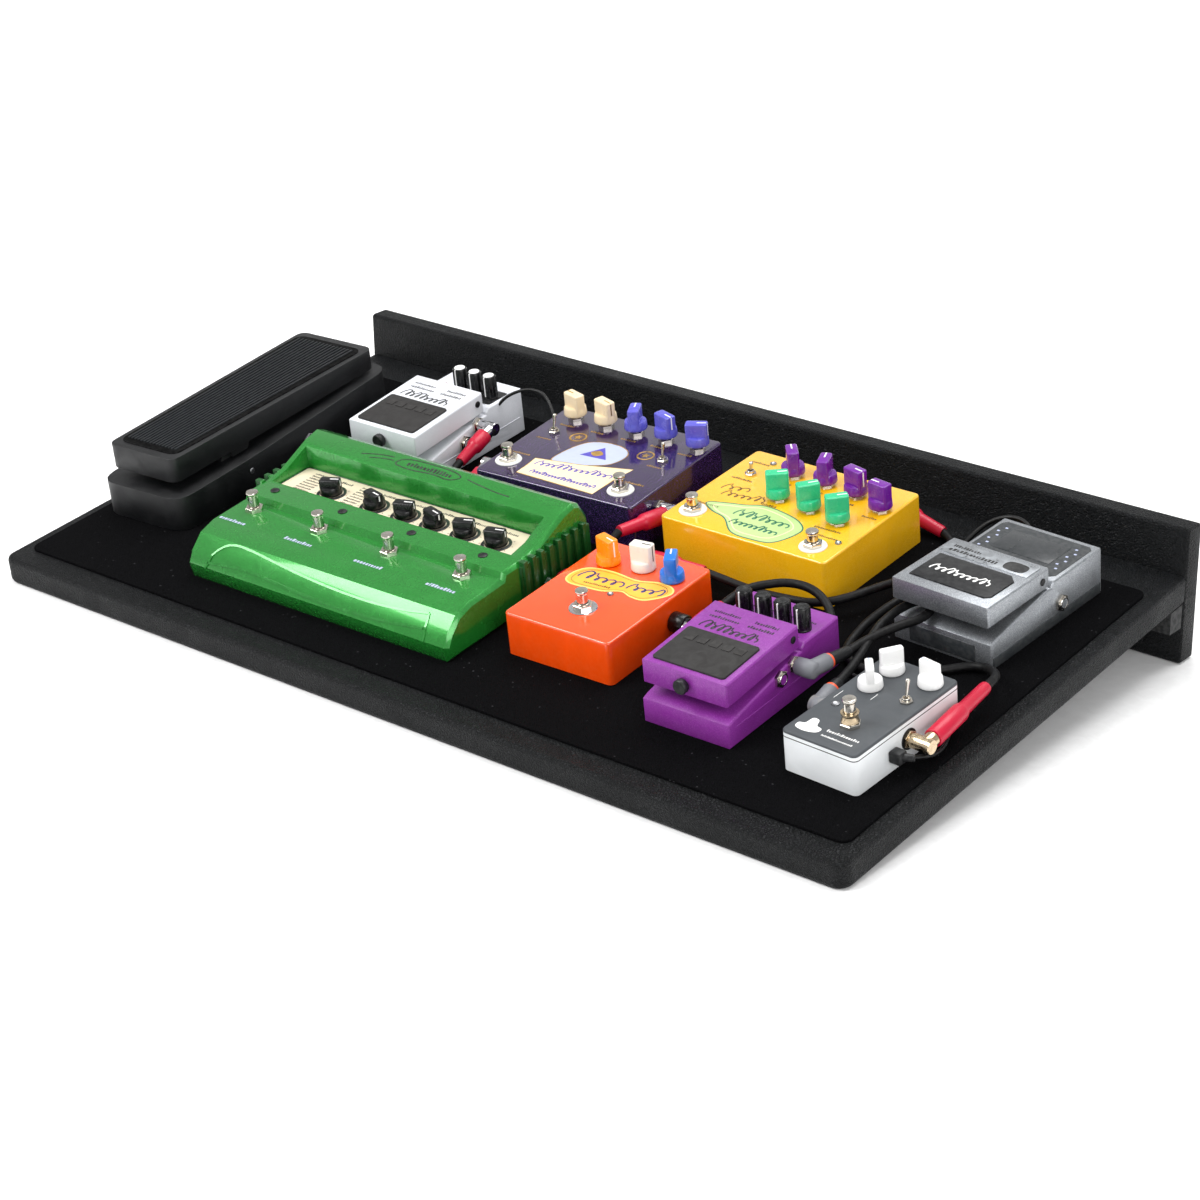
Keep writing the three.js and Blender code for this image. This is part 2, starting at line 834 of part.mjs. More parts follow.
function wahPedal() {
  const { place, length, heelHeight, toeHeight, pivotY, pivotZ, pivotRadius } = wah;
  const { cornerRadius, treadleInset, treadleTop, treadleSkirt, heelGap, toeGap } = wah;
  const at = placeOnCarpet(...place);
  const wide = [-50, wah.toeWidth + 50];
  const tall = treadleTop.heel + 40;

  // The base is the outline cut off by its sloping top, hollow below, with a pivot yoke.
  const aboveBase = profileSlab(
    [
      [-20, heelHeight],
      [pivotY, heelHeight + 1],
      [length + 20, toeHeight],
      [length + 20, tall],
      [-20, tall],
    ],
    ...wide,
  );
  const outer = cutBy(solidOf(slab(wahOutline(0, cornerRadius), 0, tall, 0, 5)), [aboveBase]);
  const inner = cutBy(solidOf(slab(wahOutline(WALL, cornerRadius - WALL), -1, tall, 0, 4)), [
    profileSlab(
      [
        [-20, heelHeight - WALL],
        [pivotY, heelHeight + 1 - WALL],
        [length + 20, toeHeight - WALL],
        [length + 20, tall],
        [-20, tall],
      ],
      ...wide,
    ),
  ]);
  const middleX = wah.heelWidth / 2;
  const yokeHalf = middleX - treadleInset - 8;
  const yoke = profileSlab(
    [
      [pivotY - 16, heelHeight - 1],
      [pivotY + 16, heelHeight - 1],
      [pivotY + 7, pivotZ + pivotRadius + 2.5],
      [pivotY - 7, pivotZ + pivotRadius + 2.5],
    ],
    middleX - yokeHalf,
    middleX + yokeHalf,
  );
  const jackBoss = jackSeat(wah.jack, { width: wah.jackFace }).adds;
  const bore = crossways(pivotRadius + BASE_CLEARANCE, ...wide, pivotY, pivotZ, 12);
  const base = [yoke, ...jackBoss].map(solidOf).reduce((sum, one) => sum.add(one), outer);
  const baseGeometry = geometryOf(cutBy(base.subtract(inner), [bore]));
  at.add(meshNode("wah_base", baseGeometry, shades.black, 0.1, 0.6));

  // The treadle is the outline between two slanting planes, hollow below, on its cross shaft.
  const underside = (y) =>
    heelHeight + heelGap + ((toeHeight + toeGap - heelHeight - heelGap) * y) / length;
  const upper = (y) => treadleTop.heel + ((treadleTop.toe - treadleTop.heel) * y) / length;
  const band = (low, high) =>
    solidOf(
      profileSlab(
        [
          [-20, low(-20)],
          [length + 20, low(length + 20)],
          [length + 20, high(length + 20)],
          [-20, high(-20)],
        ],
        ...wide,
      ),
    );
  const plan = (margin, radius) => solidOf(slab(wahOutline(margin, radius), 0, tall, 0, 5));
  const skirtInner = treadleInset + WALL;
  const shell = plan(treadleInset, cornerRadius - treadleInset)
    .intersect(band(underside, upper))
    .subtract(
      plan(skirtInner, cornerRadius - skirtInner).intersect(
        band(
          (y) => underside(y) - treadleSkirt,
          (y) => upper(y) - WALL,
        ),
      ),
    );
  const shaftEnd = treadleInset + WALL / 2;
  const axle = crossways(
    pivotRadius,
    shaftEnd,
    wah.heelWidth - shaftEnd,
    pivotY,
    pivotZ,
    12,
  );
  const cheek = (x) =>
    profileSlab(
      [
        [pivotY - 9, pivotZ - 5.5],
        [pivotY + 9, pivotZ - 5.5],
        [pivotY + 14, underside(pivotY) + 6],
        [pivotY - 14, underside(pivotY) + 6],
      ],
      x,
      x + WALL,
    );
  const cheekInset = treadleInset + 0.2;
  const treadle = [axle, cheek(cheekInset), cheek(wah.heelWidth - cheekInset - WALL)]
    .map(solidOf)
    .reduce((sum, one) => sum.add(one), shell);
  const geometry = geometryOf(treadle).translate(0, -pivotY, -pivotZ);
  const mesh = meshNode("wah_treadle", geometry, shades.black, 0.1, 0.6);
  mesh.position.set(0, pivotY, pivotZ);
  at.add(mesh);
}

// ---- patch leads ------------------------------------------------------------------------------

// A plug sits on a jack: straight out to its elbow, then along its sleeve to the cable. route is
// in the deck's axes, from the end of the first sleeve to the end of the last.
const leads = [
  {
    name: "tuner_mini_lead",
    from: { pedal: "tuner", jack: 1 },
    to: { pedal: "mini", jack: 0 },
    route: [
      [262, 272, 40],
      [257, 258, 37],
      [252, 243, 32],
      [251, 228, 28],
      [254, 214, 26.6],
      [262, 203, 26.6],
      [275, 197, 26.6],
      [290, 197, 26.6],
      [305, 202, 26.6],
      [318, 212, 26.6],
      [330, 225, 26.6],
      [341, 235, 27],
      [352, 237, 28.5],
      [362, 231.5, 31.5],
      [370, 223, 35],
      [375, 212, 38.5],
      [377, 200, 40],
    ],
  },
  {
    name: "mini_violet_lead",
    from: { pedal: "mini", jack: 1 },
    to: { pedal: "violet", jack: 1 },
    route: [
      [291, 152, 42],
      [289.5, 168, 43.5],
      [286, 186, 45],
      [282, 203, 47],
      [279, 219, 49],
      [277.5, 234, 49],
      [278.5, 248, 49.2],
      [283.5, 260, 49.8],
      [291.5, 262, 49.8],
      [297.5, 254, 49.3],
      [297.5, 241, 49],
      [292, 227, 49.5],
      [286, 212, 49],
      [281, 197, 48],
      [278.5, 182, 47],
    ],
  },
  {
    name: "violet_orange_lead",
    from: { pedal: "violet", jack: 2 },
    to: { pedal: "orange", jack: 1, straight: true },
    route: [
      [172, 180, 53],
      [172.5, 195, 54],
      [175, 209, 54],
      [182, 222, 53],
      [192, 231, 52.5],
      [205, 234, 52],
      [219, 231, 51],
      [232, 224, 48],
      [241, 215, 43],
      [243, 209, 35],
      [238, 207, 29],
      [226, 208, 26.8],
      [212, 210, 26.6],
      [198, 210, 26.6],
      [186, 207.5, 26.6],
      [179, 199, 27.2],
      [178, 188, 29.5],
      [177.5, 178, 33],
      [173, 169, 37.5],
      [161, 164.3, 39.3],
    ],
  },
  {
    name: "orange_yellow_lead",
    from: { pedal: "orange", jack: 0 },
    to: { pedal: "yellow", jack: 0 },
    route: [
      [116, 232, 40],
      [131, 233, 38],
      [148, 234.5, 35.5],
      [166, 237, 33.5],
      [184, 240, 33],
      [201, 242, 34],
      [215, 247, 36],
      [226, 257, 38],
      [233, 270, 38.5],
      [237, 285, 37],
      [239, 301, 33.5],
      [240, 318, 29.5],
      [240.5, 335, 27],
      [240, 352, 26.6],
      [237, 368, 26.6],
      [231, 380, 26.6],
      [220, 386.5, 28],
    ],
  },
  {
    name: "purple_white_lead",
    from: { pedal: "white", jack: 1 },
    to: { pedal: "purple", jack: 1 },
    route: [
      [-161, 276, 41],
      [-160.8, 270, 38.8],
      [-160.5, 264, 36.4],
      [-160.3, 258, 33.9],
      [-160, 252, 31.5],
      [-159.5, 246.5, 29.5],
      [-158.4, 241, 27.9],
      [-156.7, 236.2, 26.9],
      [-154, 232, 26.6],
      [-150.3, 229, 26.6],
      [-146, 227.5, 26.6],
      [-141.6, 227.6, 26.9],
      [-137.5, 229.2, 27.8],
      [-134.4, 232.3, 29.3],
      [-132.1, 236.3, 31.3],
      [-130.6, 240.6, 33.6],
      [-129.5, 245, 36],
    ],
  },
];

const pedalNamed = Object.fromEntries([...boxPedals, ...compactPedals].map((one) => [one.name, one]));

// A tapered rod between two points.
function rod(from, to, radiusFrom, radiusTo, sides = 10) {
  const along = to.clone().sub(from);
  const turn = new THREE.Quaternion().setFromUnitVectors(
    new THREE.Vector3(0, 1, 0),
    along.clone().normalize(),
  );
  return new THREE.CylinderGeometry(radiusTo, radiusFrom, along.length(), sides)
    .applyQuaternion(turn)
    .translate(...from.clone().lerp(to, 0.5).toArray());
}

// A plug's solids on its jack, and the point inside it where the cable's tube starts.
function plugOn({ pedal, jack: index, straight = false }, sleeveEnd) {
  const spec = pedalNamed[pedal];
  const one = spec.jacks[index];
  const [u, v, yaw] = spec.place;
  const toDeck = new THREE.Matrix4()
    .makeRotationZ(degrees(yaw))
    .setPosition(u, v, carpetTop + GAP);
  const face = new THREE.Vector3(...jackPoint(one, spec)).applyMatrix4(toDeck);
  const turn = degrees(yaw + faceTurn[one.face]);
  const outward = new THREE.Vector3(Math.cos(turn), Math.sin(turn), 0);
  const pointOut = (distance) => face.clone().addScaledVector(outward, distance);
  const base = pointOut(jack.threadHeight + GAP);
  if (straight)
    return { solids: [rod(base, sleeveEnd, plug.sleeveRadius, plug.bootRadius)], start: base };
  const elbow = pointOut(plug.reach);
  const { barrelRadius } = plug;
  const barrel = rod(base, pointOut(plug.reach + barrelRadius), barrelRadius, barrelRadius);
  const sleeve = rod(elbow, sleeveEnd, plug.sleeveRadius, plug.bootRadius);
  return { solids: [barrel, sleeve], start: elbow };
}

function patchLead({ name, from, to, route }) {
  const points = route.map((point) => new THREE.Vector3(...point));
  const [first, last] = [points[0], points[points.length - 1]];
  const ends = [plugOn(from, first), plugOn(to, last)];
  // The cable's tube starts and ends a little way inside the sleeves.
  const tucked = (end, { start }) => end.clone().lerp(start, plug.tuck);
  const curve = new THREE.CatmullRomCurve3([
    tucked(first, ends[0]),
    ...points,
    tucked(last, ends[1]),
  ]);
  const section = new THREE.Shape(
    Array.from({ length: cable.sides }, (_, i) => {
      const turn = (i / cable.sides) * Math.PI * 2;
      return new THREE.Vector2(Math.cos(turn), Math.sin(turn)).multiplyScalar(cable.radius);
    }),
  );
  const steps = Math.ceil(curve.getLength() / cable.stepLength);
  const tube = new THREE.ExtrudeGeometry(section, {
    steps,
    extrudePath: curve,
    bevelEnabled: false,
  });
  const solid = joined([tube, ...ends.flatMap((end) => end.solids)]);
  deck.add(meshNode(name, geometryOf(solid), shades.black, 0, 0.5));
}

boardPieces();
wahPedal();
modellerPedal();
for (const spec of compactPedals) compactPedal(spec);
for (const spec of boxPedals) boxPedal(spec);
for (const spec of leads) patchLead(spec);

export default group;
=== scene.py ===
"""A loaded pedalboard: its finishes, its prints, its controls and its leads.

Each sub-assembly is a class that holds its sizes in millimetres, in the axes of the piece it
stands on, and puts its finished meshes into the frame in metres. Finishes are frozen
dataclasses, and the effects that they share are shader node groups.
"""

from __future__ import annotations

import json
import logging
import random
from dataclasses import dataclass, field
from enum import Enum
from math import atan2, cos, degrees, pi, radians, sin, sqrt, tau
from typing import Iterable, Sequence

import bmesh
import bpy
from mathutils import Matrix, Vector


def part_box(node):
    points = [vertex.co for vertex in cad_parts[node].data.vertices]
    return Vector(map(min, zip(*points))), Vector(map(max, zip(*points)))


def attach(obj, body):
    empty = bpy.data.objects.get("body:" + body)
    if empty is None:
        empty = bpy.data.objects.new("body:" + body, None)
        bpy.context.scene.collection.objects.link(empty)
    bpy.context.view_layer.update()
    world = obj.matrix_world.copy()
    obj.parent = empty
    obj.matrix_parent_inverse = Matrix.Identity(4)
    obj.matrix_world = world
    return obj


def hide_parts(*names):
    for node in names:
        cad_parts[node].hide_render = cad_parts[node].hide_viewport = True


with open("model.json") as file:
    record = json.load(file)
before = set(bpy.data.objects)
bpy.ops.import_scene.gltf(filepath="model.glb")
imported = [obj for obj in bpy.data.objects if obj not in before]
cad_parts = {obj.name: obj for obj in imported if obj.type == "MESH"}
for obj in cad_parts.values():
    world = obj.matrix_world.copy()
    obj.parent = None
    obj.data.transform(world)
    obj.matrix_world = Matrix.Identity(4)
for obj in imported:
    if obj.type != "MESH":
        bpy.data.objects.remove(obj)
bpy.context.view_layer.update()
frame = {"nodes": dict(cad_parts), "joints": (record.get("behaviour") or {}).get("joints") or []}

LOG = logging.getLogger("pedalboard")
MM = 0.001
BOARD = "board"  # the body that everything fixed rides on

Point = Sequence[float]
Outline = Sequence[tuple[float, float]]
Points = list[tuple[float, float]]
Pieces = list[bpy.types.Object]
NodeSocket = bpy.types.NodeSocket


# ---- node graphs ----


def linear(colour: str) -> tuple[float, float, float, float]:
    """The scene-linear RGBA of a "#rrggbb" display colour.

    Args:
        colour: The display colour, as six hexadecimal digits after a hash.

    Returns:
        Red, green, blue and an alpha of one.
    """
    channels = [int(colour[i : i + 2], 16) / 255 for i in (1, 3, 5)]
    bent = [c / 12.92 if c <= 0.04045 else ((c + 0.055) / 1.055) ** 2.4 for c in channels]
    return (bent[0], bent[1], bent[2], 1.0)


class Graph:
    """A node tree, with short ways to add and wire its nodes."""

    def __init__(self, tree: bpy.types.NodeTree) -> None:
        """Take hold of a tree to add nodes to."""
        self.tree = tree

    def add(self, kind: str, feeds: dict | None = None, **settings: object) -> bpy.types.Node:
        """Add a node.

        Args:
            kind: The node's type, such as "ShaderNodeTexNoise".
            feeds: What goes into its inputs, by socket name or number: a socket or a constant.
            settings: The node's own settings.

        Returns:
            The node.
        """
        node = self.tree.nodes.new(kind)
        for key, value in settings.items():
            setattr(node, key, value)
        for key, value in (feeds or {}).items():
            self.feed(node.inputs[key], value)
        return node

    def feed(self, socket: NodeSocket, value: object) -> None:
        """Link a socket to another one, or give it a constant.

        Args:
            socket: The socket to feed.
            value: The other socket, or the constant.
        """
        if isinstance(value, NodeSocket):
            self.tree.links.new(value, socket)
        else:
            socket.default_value = value

    def math(self, kind: str, *values: object) -> NodeSocket:
        """The result of a Math node on up to three values."""
        return self.add("ShaderNodeMath", dict(enumerate(values)), operation=kind).outputs[0]

    def blend(self, factor: object, low: object, high: object) -> NodeSocket:
        """A colour between two colours, by a factor."""
        feeds = {0: factor, 6: low, 7: high}
        return self.add("ShaderNodeMix", feeds, data_type="RGBA").outputs[2]

    def span(self, value: object, low: object, high: object, out: Point) -> NodeSocket:
        """A value's place between low and high, as a number from out[0] to out[1]."""
        feeds = {0: value, 1: low, 2: high, 3: out[0], 4: out[1]}
        return self.add("ShaderNodeMapRange", feeds, clamp=True).outputs[0]

    def place(self) -> NodeSocket:
        """The piece's own coordinates, in metres."""
        return self.add("ShaderNodeTexCoord").outputs["Object"]


class Effect(Enum):
    """The effects that several finishes share, each a node group built once."""

    GRAIN = "fine grain"
    SMUDGE = "handling smudges"
    FLAKE = "metal flakes"
    HIDE = "leather grain"
    WEAR = "edge wear"

    def group(self) -> bpy.types.NodeTree:
        """The effect's node group, made the first time it is asked for."""
        return bpy.data.node_groups.get(self.value) or EffectMaker(self).build()


class EffectMaker:
    """Builds the node group of one effect."""

    def __init__(self, effect: Effect) -> None:
        """Start an empty group for the effect."""
        self.effect = effect
        self.graph = Graph(bpy.data.node_groups.new(effect.value, "ShaderNodeTree"))

    def _socket(self, name: str, side: str) -> bpy.types.NodeTreeInterfaceSocket:
        """Give the group a number socket on its INPUT or OUTPUT side."""
        face = self.graph.tree.interface
        return face.new_socket(name=name, in_out=side, socket_type="NodeSocketFloat")

    def _inputs(self, **defaults: float) -> bpy.types.NodeOutputs:
        """Give the group its inputs.

        Args:
            defaults: Their names and the values that they start with.

        Returns:
            The inner side of them.
        """
        for name, value in defaults.items():
            self._socket(name, "INPUT").default_value = value
        return self.graph.add("NodeGroupInput").outputs

    def _output(self, value: NodeSocket) -> None:
        """Give the group its one output."""
        self._socket("Value", "OUTPUT")
        self.graph.add("NodeGroupOutput", {0: value})

    def build(self) -> bpy.types.NodeTree:
        """Wire the effect up.

        Returns:
            The finished node group, whose output is called Value.
        """
        makers = {
            Effect.GRAIN: self._grain,
            Effect.SMUDGE: self._smudge,
            Effect.FLAKE: self._flake,
            Effect.HIDE: self._hide,
            Effect.WEAR: self._wear,
        }
        makers[self.effect]()
        return self.graph.tree

    def _grain(self) -> None:
        """Small even bumps."""
        ins = self._inputs(Scale=900.0, Detail=3.0)
        feeds = {"Vector": self.graph.place(), "Scale": ins["Scale"], "Detail": ins["Detail"]}
        self._output(self.graph.add("ShaderNodeTexNoise", feeds).outputs[0])

    def _smudge(self) -> None:
        """Broad uneven patches, from Low to High."""
        ins = self._inputs(Scale=40.0, Low=0.3, High=0.5)
        feeds = {"Vector": self.graph.place(), "Scale": ins["Scale"], "Detail": 6.0}
        noise = self.graph.add("ShaderNodeTexNoise", feeds | {"Distortion": 0.6}).outputs[0]
        node = self.graph.add("ShaderNodeMapRange", {0: noise, 1: 0.35, 2: 0.65})
        self.graph.feed(node.inputs[3], ins["Low"])
        self.graph.feed(node.inputs[4], ins["High"])
        self._output(node.outputs[0])

    def _flake(self) -> None:
        """One where a flake lies, and nought between them."""
        ins = self._inputs(Scale=1500.0, Share=0.15)
        feeds = {"Vector": self.graph.place(), "Scale": ins["Scale"]}
        cells = self.graph.add("ShaderNodeTexVoronoi", feeds, feature="F1")
        apart = self.graph.add("ShaderNodeSeparateColor", {0: cells.outputs["Color"]})
        self._output(self.graph.math("LESS_THAN", apart.outputs[0], ins["Share"]))

    def _hide(self) -> None:
        """The pebbles of grained vinyl: high on each pebble, low in the creases."""
        ins = self._inputs(Scale=420.0)
        place = self.graph.place()
        warp = self.graph.add("ShaderNodeTexNoise", {"Vector": place, "Scale": 160.0})
        nudge = self.graph.add(
            "ShaderNodeVectorMath", {0: warp.outputs["Color"], "Scale": 0.004}, operation="SCALE"
        )
        moved = self.graph.add(
            "ShaderNodeVectorMath", {0: place, 1: nudge.outputs[0]}, operation="ADD"
        )
        feeds = {"Vector": moved.outputs[0], "Scale": ins["Scale"]}
        cells = self.graph.add("ShaderNodeTexVoronoi", feeds, feature="DISTANCE_TO_EDGE")
        self._output(self.graph.span(cells.outputs["Distance"], 0.0, 0.22, (0.0, 1.0)))

    def _wear(self) -> None:
        """One along sharp outer edges, broken up, and nought elsewhere."""
        ins = self._inputs(Amount=0.5)
        point = self.graph.add("ShaderNodeNewGeometry").outputs["Pointiness"]
        edge = self.graph.span(point, 0.52, 0.62, (0.0, 1.0))
        noise = self.graph.add(
            "ShaderNodeTexNoise", {"Vector": self.graph.place(), "Scale": 300.0, "Detail": 4.0}
        )
        broken = self.graph.span(noise.outputs[0], 0.4, 0.6, (0.0, 1.0))
        both = self.graph.math("MULTIPLY", edge, broken)
        self._output(self.graph.math("MULTIPLY", both, ins["Amount"]))


# ---- finishes ----


@dataclass(frozen=True)
class Finish:
    """A surface finish: a name, a main colour and how they become a material."""

    name: str
    colour: str

    def material(self) -> bpy.types.Material:
        """The finish's material, built the first time it is asked for."""
        return bpy.data.materials.get(self.name) or self._build()

    def _start(self) -> tuple[bpy.types.Material, Graph, bpy.types.Node]:
        """An empty material with its Principled BSDF.

        Returns:
            The material, its graph and the shader node.
        """
        material = bpy.data.materials.new(self.name)
        material.use_nodes = True
        graph = Graph(material.node_tree)
        shader = material.node_tree.nodes["Principled BSDF"]
        shader.inputs["Base Color"].default_value = linear(self.colour)
        material.diffuse_color = linear(self.colour)
        return material, graph, shader

    def _effect(self, graph: Graph, effect: Effect, **values: float) -> NodeSocket:
        """Place an effect's group in the material.

        Args:
            graph: The material's graph.
            effect: The effect.
            values: What goes into its inputs.

        Returns:
            The group's output.
        """
        node = graph.add("ShaderNodeGroup", node_tree=effect.group())
        for name, value in values.items():
            node.inputs[name].default_value = value
        return node.outputs["Value"]

    def _toned(self, graph: Graph, scale: float, share: float) -> NodeSocket:
        """The main colour, darkened in patches.

        Args:
            graph: The material's graph.
            scale: How fine the patches are.
            share: How much of the colour is left in them.

        Returns:
            The colour's socket.
        """
        tone = self._effect(graph, Effect.SMUDGE, Scale=scale, Low=0.0, High=1.0)
        base = linear(self.colour)
        return graph.blend(tone, tuple(c * share for c in base[:3]) + (1.0,), base)

    def _bump(
        self, graph: Graph, shader: bpy.types.Node, height: object, depth: float, strength: float
    ) -> None:
        """Let a height stand out of the surface by up to depth metres."""
        feeds = {"Height": height, "Distance": depth, "Strength": strength}
        graph.feed(shader.inputs["Normal"], graph.add("ShaderNodeBump", feeds).outputs[0])

    def _build(self) -> bpy.types.Material:
        """Build the material."""
        raise NotImplementedError


@dataclass(frozen=True)
class Paint(Finish):
    """Sprayed paint on metal: peel or texture, flakes, worn edges and handling smudges."""

    roughness: float = 0.3
    metallic: float = 0.0
    coat: float = 0.0
    flake: str = "#ffffff"
    flake_share: float = 0.0
    flake_scale: float = 3000.0
    texture_scale: float = 1500.0
    texture_depth: float = 0.00003
    chipped: str = "#b9b7b2"
    wear: float = 0.08

    def _build(self) -> bpy.types.Material:
        """Build the paint."""
        material, graph, shader = self._start()
        colour = self._toned(graph, 25.0, 0.86)
        if self.flake_share:
            mask = self._effect(
                graph, Effect.FLAKE, Scale=self.flake_scale, Share=self.flake_share
            )
            colour = graph.blend(mask, colour, linear(self.flake))
        shader.inputs["Metallic"].default_value = self.metallic
        worn = self._effect(graph, Effect.WEAR, Amount=self.wear)
        graph.feed(shader.inputs["Base Color"], graph.blend(worn, colour, linear(self.chipped)))
        low, high = self.roughness * 0.85, min(1.0, self.roughness * 1.25)
        rough = self._effect(graph, Effect.SMUDGE, Scale=60.0, Low=low, High=high)
        graph.feed(shader.inputs["Roughness"], rough)
        shader.inputs["Coat Weight"].default_value = self.coat
        shader.inputs["Coat Roughness"].default_value = 0.08
        grain = self._effect(graph, Effect.GRAIN, Scale=self.texture_scale, Detail=2.0)
        self._bump(graph, shader, grain, self.texture_depth, 0.6)
        return material


@dataclass(frozen=True)
class Vinyl(Finish):
    """Grained vinyl cloth, with painted shade in its creases."""

    # The colour of the creases: painted shade between the grain's pebbles.
    crease_shade: str = "#040505"
    grain_scale: float = 460.0

    def _build(self) -> bpy.types.Material:
        """Build the vinyl."""
        material, graph, shader = self._start()
        pebbles = self._effect(graph, Effect.HIDE, Scale=self.grain_scale)
        fine = self._effect(graph, Effect.GRAIN, Scale=2600.0, Detail=2.0)
        worn = self._effect(graph, Effect.WEAR, Amount=0.35)
        # Painted shade: the creases get the crease colour, and the pebbles keep the main colour.
        shade = graph.blend(pebbles, linear(self.crease_shade), linear(self.colour))
        graph.feed(shader.inputs["Base Color"], graph.blend(worn, shade, linear("#202327")))
        shader.inputs["Specular IOR Level"].default_value = 0.2
        rough = self._effect(graph, Effect.SMUDGE, Scale=18.0, Low=0.42, High=0.56)
        graph.feed(shader.inputs["Roughness"], rough)
        height = graph.math("MULTIPLY_ADD", fine, 0.15, pebbles)
        self._bump(graph, shader, height, 0.0009, 0.9)
        return material


@dataclass(frozen=True)
class LoopCarpet(Finish):
    """Short looped carpet: near black, with a painted highlight on its fibre tops, and stray lint."""

    # The lighter colour of the loop tops: a painted highlight.
    tip: str = "#111113"

    def _build(self) -> bpy.types.Material:
        """Build the carpet."""
        material, graph, shader = self._start()
        loops = graph.add(
            "ShaderNodeTexVoronoi", {"Vector": graph.place(), "Scale": 1300.0}, feature="F1"
        ).outputs["Distance"]
        fuzz = self._effect(graph, Effect.GRAIN, Scale=3200.0, Detail=5.0)
        lint = self._effect(graph, Effect.FLAKE, Scale=900.0, Share=0.002)
        # Painted highlight on the loop tops, and painted shade between the loops.
        lit_loop_tops = graph.span(graph.math("MULTIPLY", loops, fuzz), 0.1, 0.45, (1.0, 0.0))
        colour = graph.blend(lit_loop_tops, linear(self.colour), linear(self.tip))
        graph.feed(shader.inputs["Base Color"], graph.blend(lint, colour, linear("#343436")))
        shader.inputs["Roughness"].default_value = 1.0
        shader.inputs["Specular IOR Level"].default_value = 0.04
        height = graph.math("MULTIPLY_ADD", fuzz, 0.6, graph.math("SUBTRACT", 1.0, loops))
        self._bump(graph, shader, height, 0.0008, 0.9)
        return material


@dataclass(frozen=True)
class Plated(Finish):
    """Bright plated metal, lightly brushed and fingered."""

    roughness: float = 0.16
    grain: float = 1400.0

    def _build(self) -> bpy.types.Material:
        """Build the plating."""
        material, graph, shader = self._start()
        shader.inputs["Metallic"].default_value = 1.0
        rough = self._effect(
            graph, Effect.SMUDGE, Scale=220.0, Low=self.roughness * 0.6, High=self.roughness * 1.6
        )
        graph.feed(shader.inputs["Roughness"], rough)
        graph.feed(shader.inputs["Base Color"], self._toned(graph, 150.0, 0.8))
        grain = self._effect(graph, Effect.GRAIN, Scale=self.grain, Detail=2.0)
        self._bump(graph, shader, grain, 0.00001, 0.4)
        return material


@dataclass(frozen=True)
class Moulded(Finish):
    """Moulded plastic or rubber, with a fine skin and slightly rubbed edges."""

    roughness: float = 0.35
    coat: float = 0.0
    specular: float = 0.5
    texture_scale: float = 1600.0
    texture_depth: float = 0.00002
    rubbed: str = "#ffffff"
    wear: float = 0.03

    def _build(self) -> bpy.types.Material:
        """Build the plastic."""
        material, graph, shader = self._start()
        worn = self._effect(graph, Effect.WEAR, Amount=self.wear)
        skin = self._toned(graph, 90.0, 0.94)
        graph.feed(shader.inputs["Base Color"], graph.blend(worn, skin, linear(self.rubbed)))
        rough = self._effect(
            graph, Effect.SMUDGE, Scale=120.0, Low=self.roughness * 0.9, High=self.roughness * 1.15
        )
        graph.feed(shader.inputs["Roughness"], rough)
        shader.inputs["Coat Weight"].default_value = self.coat
        shader.inputs["Specular IOR Level"].default_value = self.specular
        grain = self._effect(graph, Effect.GRAIN, Scale=self.texture_scale, Detail=3.0)
        self._bump(graph, shader, grain, self.texture_depth, 0.7)
        return material


@dataclass(frozen=True)
class Lamp(Finish):
    """A small clear lens over a lamp that is off."""

    def _build(self) -> bpy.types.Material:
        """Build the lens."""
        material, graph, shader = self._start()
        shader.inputs["Roughness"].default_value = 0.05
        shader.inputs["Coat Weight"].default_value = 1.0
        depth = self._effect(graph, Effect.SMUDGE, Scale=500.0, Low=0.0, High=1.0)
        base = linear(self.colour)
        bright = tuple(min(1.0, c * 1.8 + 0.05) for c in base[:3]) + (1.0,)
        graph.feed(shader.inputs["Base Color"], graph.blend(depth, base, bright))
        return material


VINYL = Vinyl("grained black vinyl", "#0e1012")
CARPET = LoopCarpet("black loop carpet", "#030303")
CLEAT_BLACK = Moulded("matt black bar", "#0c0d0e", roughness=0.7)
WAH_BLACK = Paint(
    "satin black casting", "#0e0f11", roughness=0.46, texture_depth=0.00006, chipped="#2a2c2f",
    wear=0.2,
)
# Nearly black: painted shade in the grooves between the mat's ribs, which have the rubber's own colour.
GROOVE_SHADE_RUBBER = Moulded("mat rubber in painted groove shade", "#020202", roughness=0.8, specular=0.1)
RIB_RUBBER = Moulded(
    "mat rib rubber", "#1c1e21", roughness=0.5, specular=0.3, rubbed="#34373a", wear=0.3
)
GREEN = Paint(
    "metallic green paint", "#1c8029", roughness=0.24, metallic=0.45, coat=0.8,
    flake="#2b9a38", flake_share=0.4, flake_scale=5200.0, texture_scale=120.0,
    texture_depth=0.00001, chipped="#6fc077", wear=0.1,
)
PEARL = Paint(
    "textured white paint", "#e6e8ee", roughness=0.4, texture_depth=0.00005, chipped="#9a9ca0",
    flake="#d4d7de", flake_share=0.12,
)
VIOLET = Paint(
    "textured violet paint", "#852a92", roughness=0.38, texture_depth=0.00006,
    chipped="#c9a3d1", flake="#963ea6", flake_share=0.15,
)
SILVER = Paint(
    "silver paint", "#92969b", roughness=0.36, metallic=0.75, flake="#c4c7cb",
    flake_share=0.25, flake_scale=4200.0,
)
TUNER_GREY = Paint("slate grey paint", "#33373a", roughness=0.42, metallic=0.2, wear=0.1)
AUBERGINE = Paint(
    "purple glitter paint", "#22103a", roughness=0.16, metallic=0.25, coat=1.0,
    flake="#6a4690", flake_share=0.12, flake_scale=3200.0, texture_scale=150.0,
    texture_depth=0.00001, chipped="#5a4a70", wear=0.05,
)
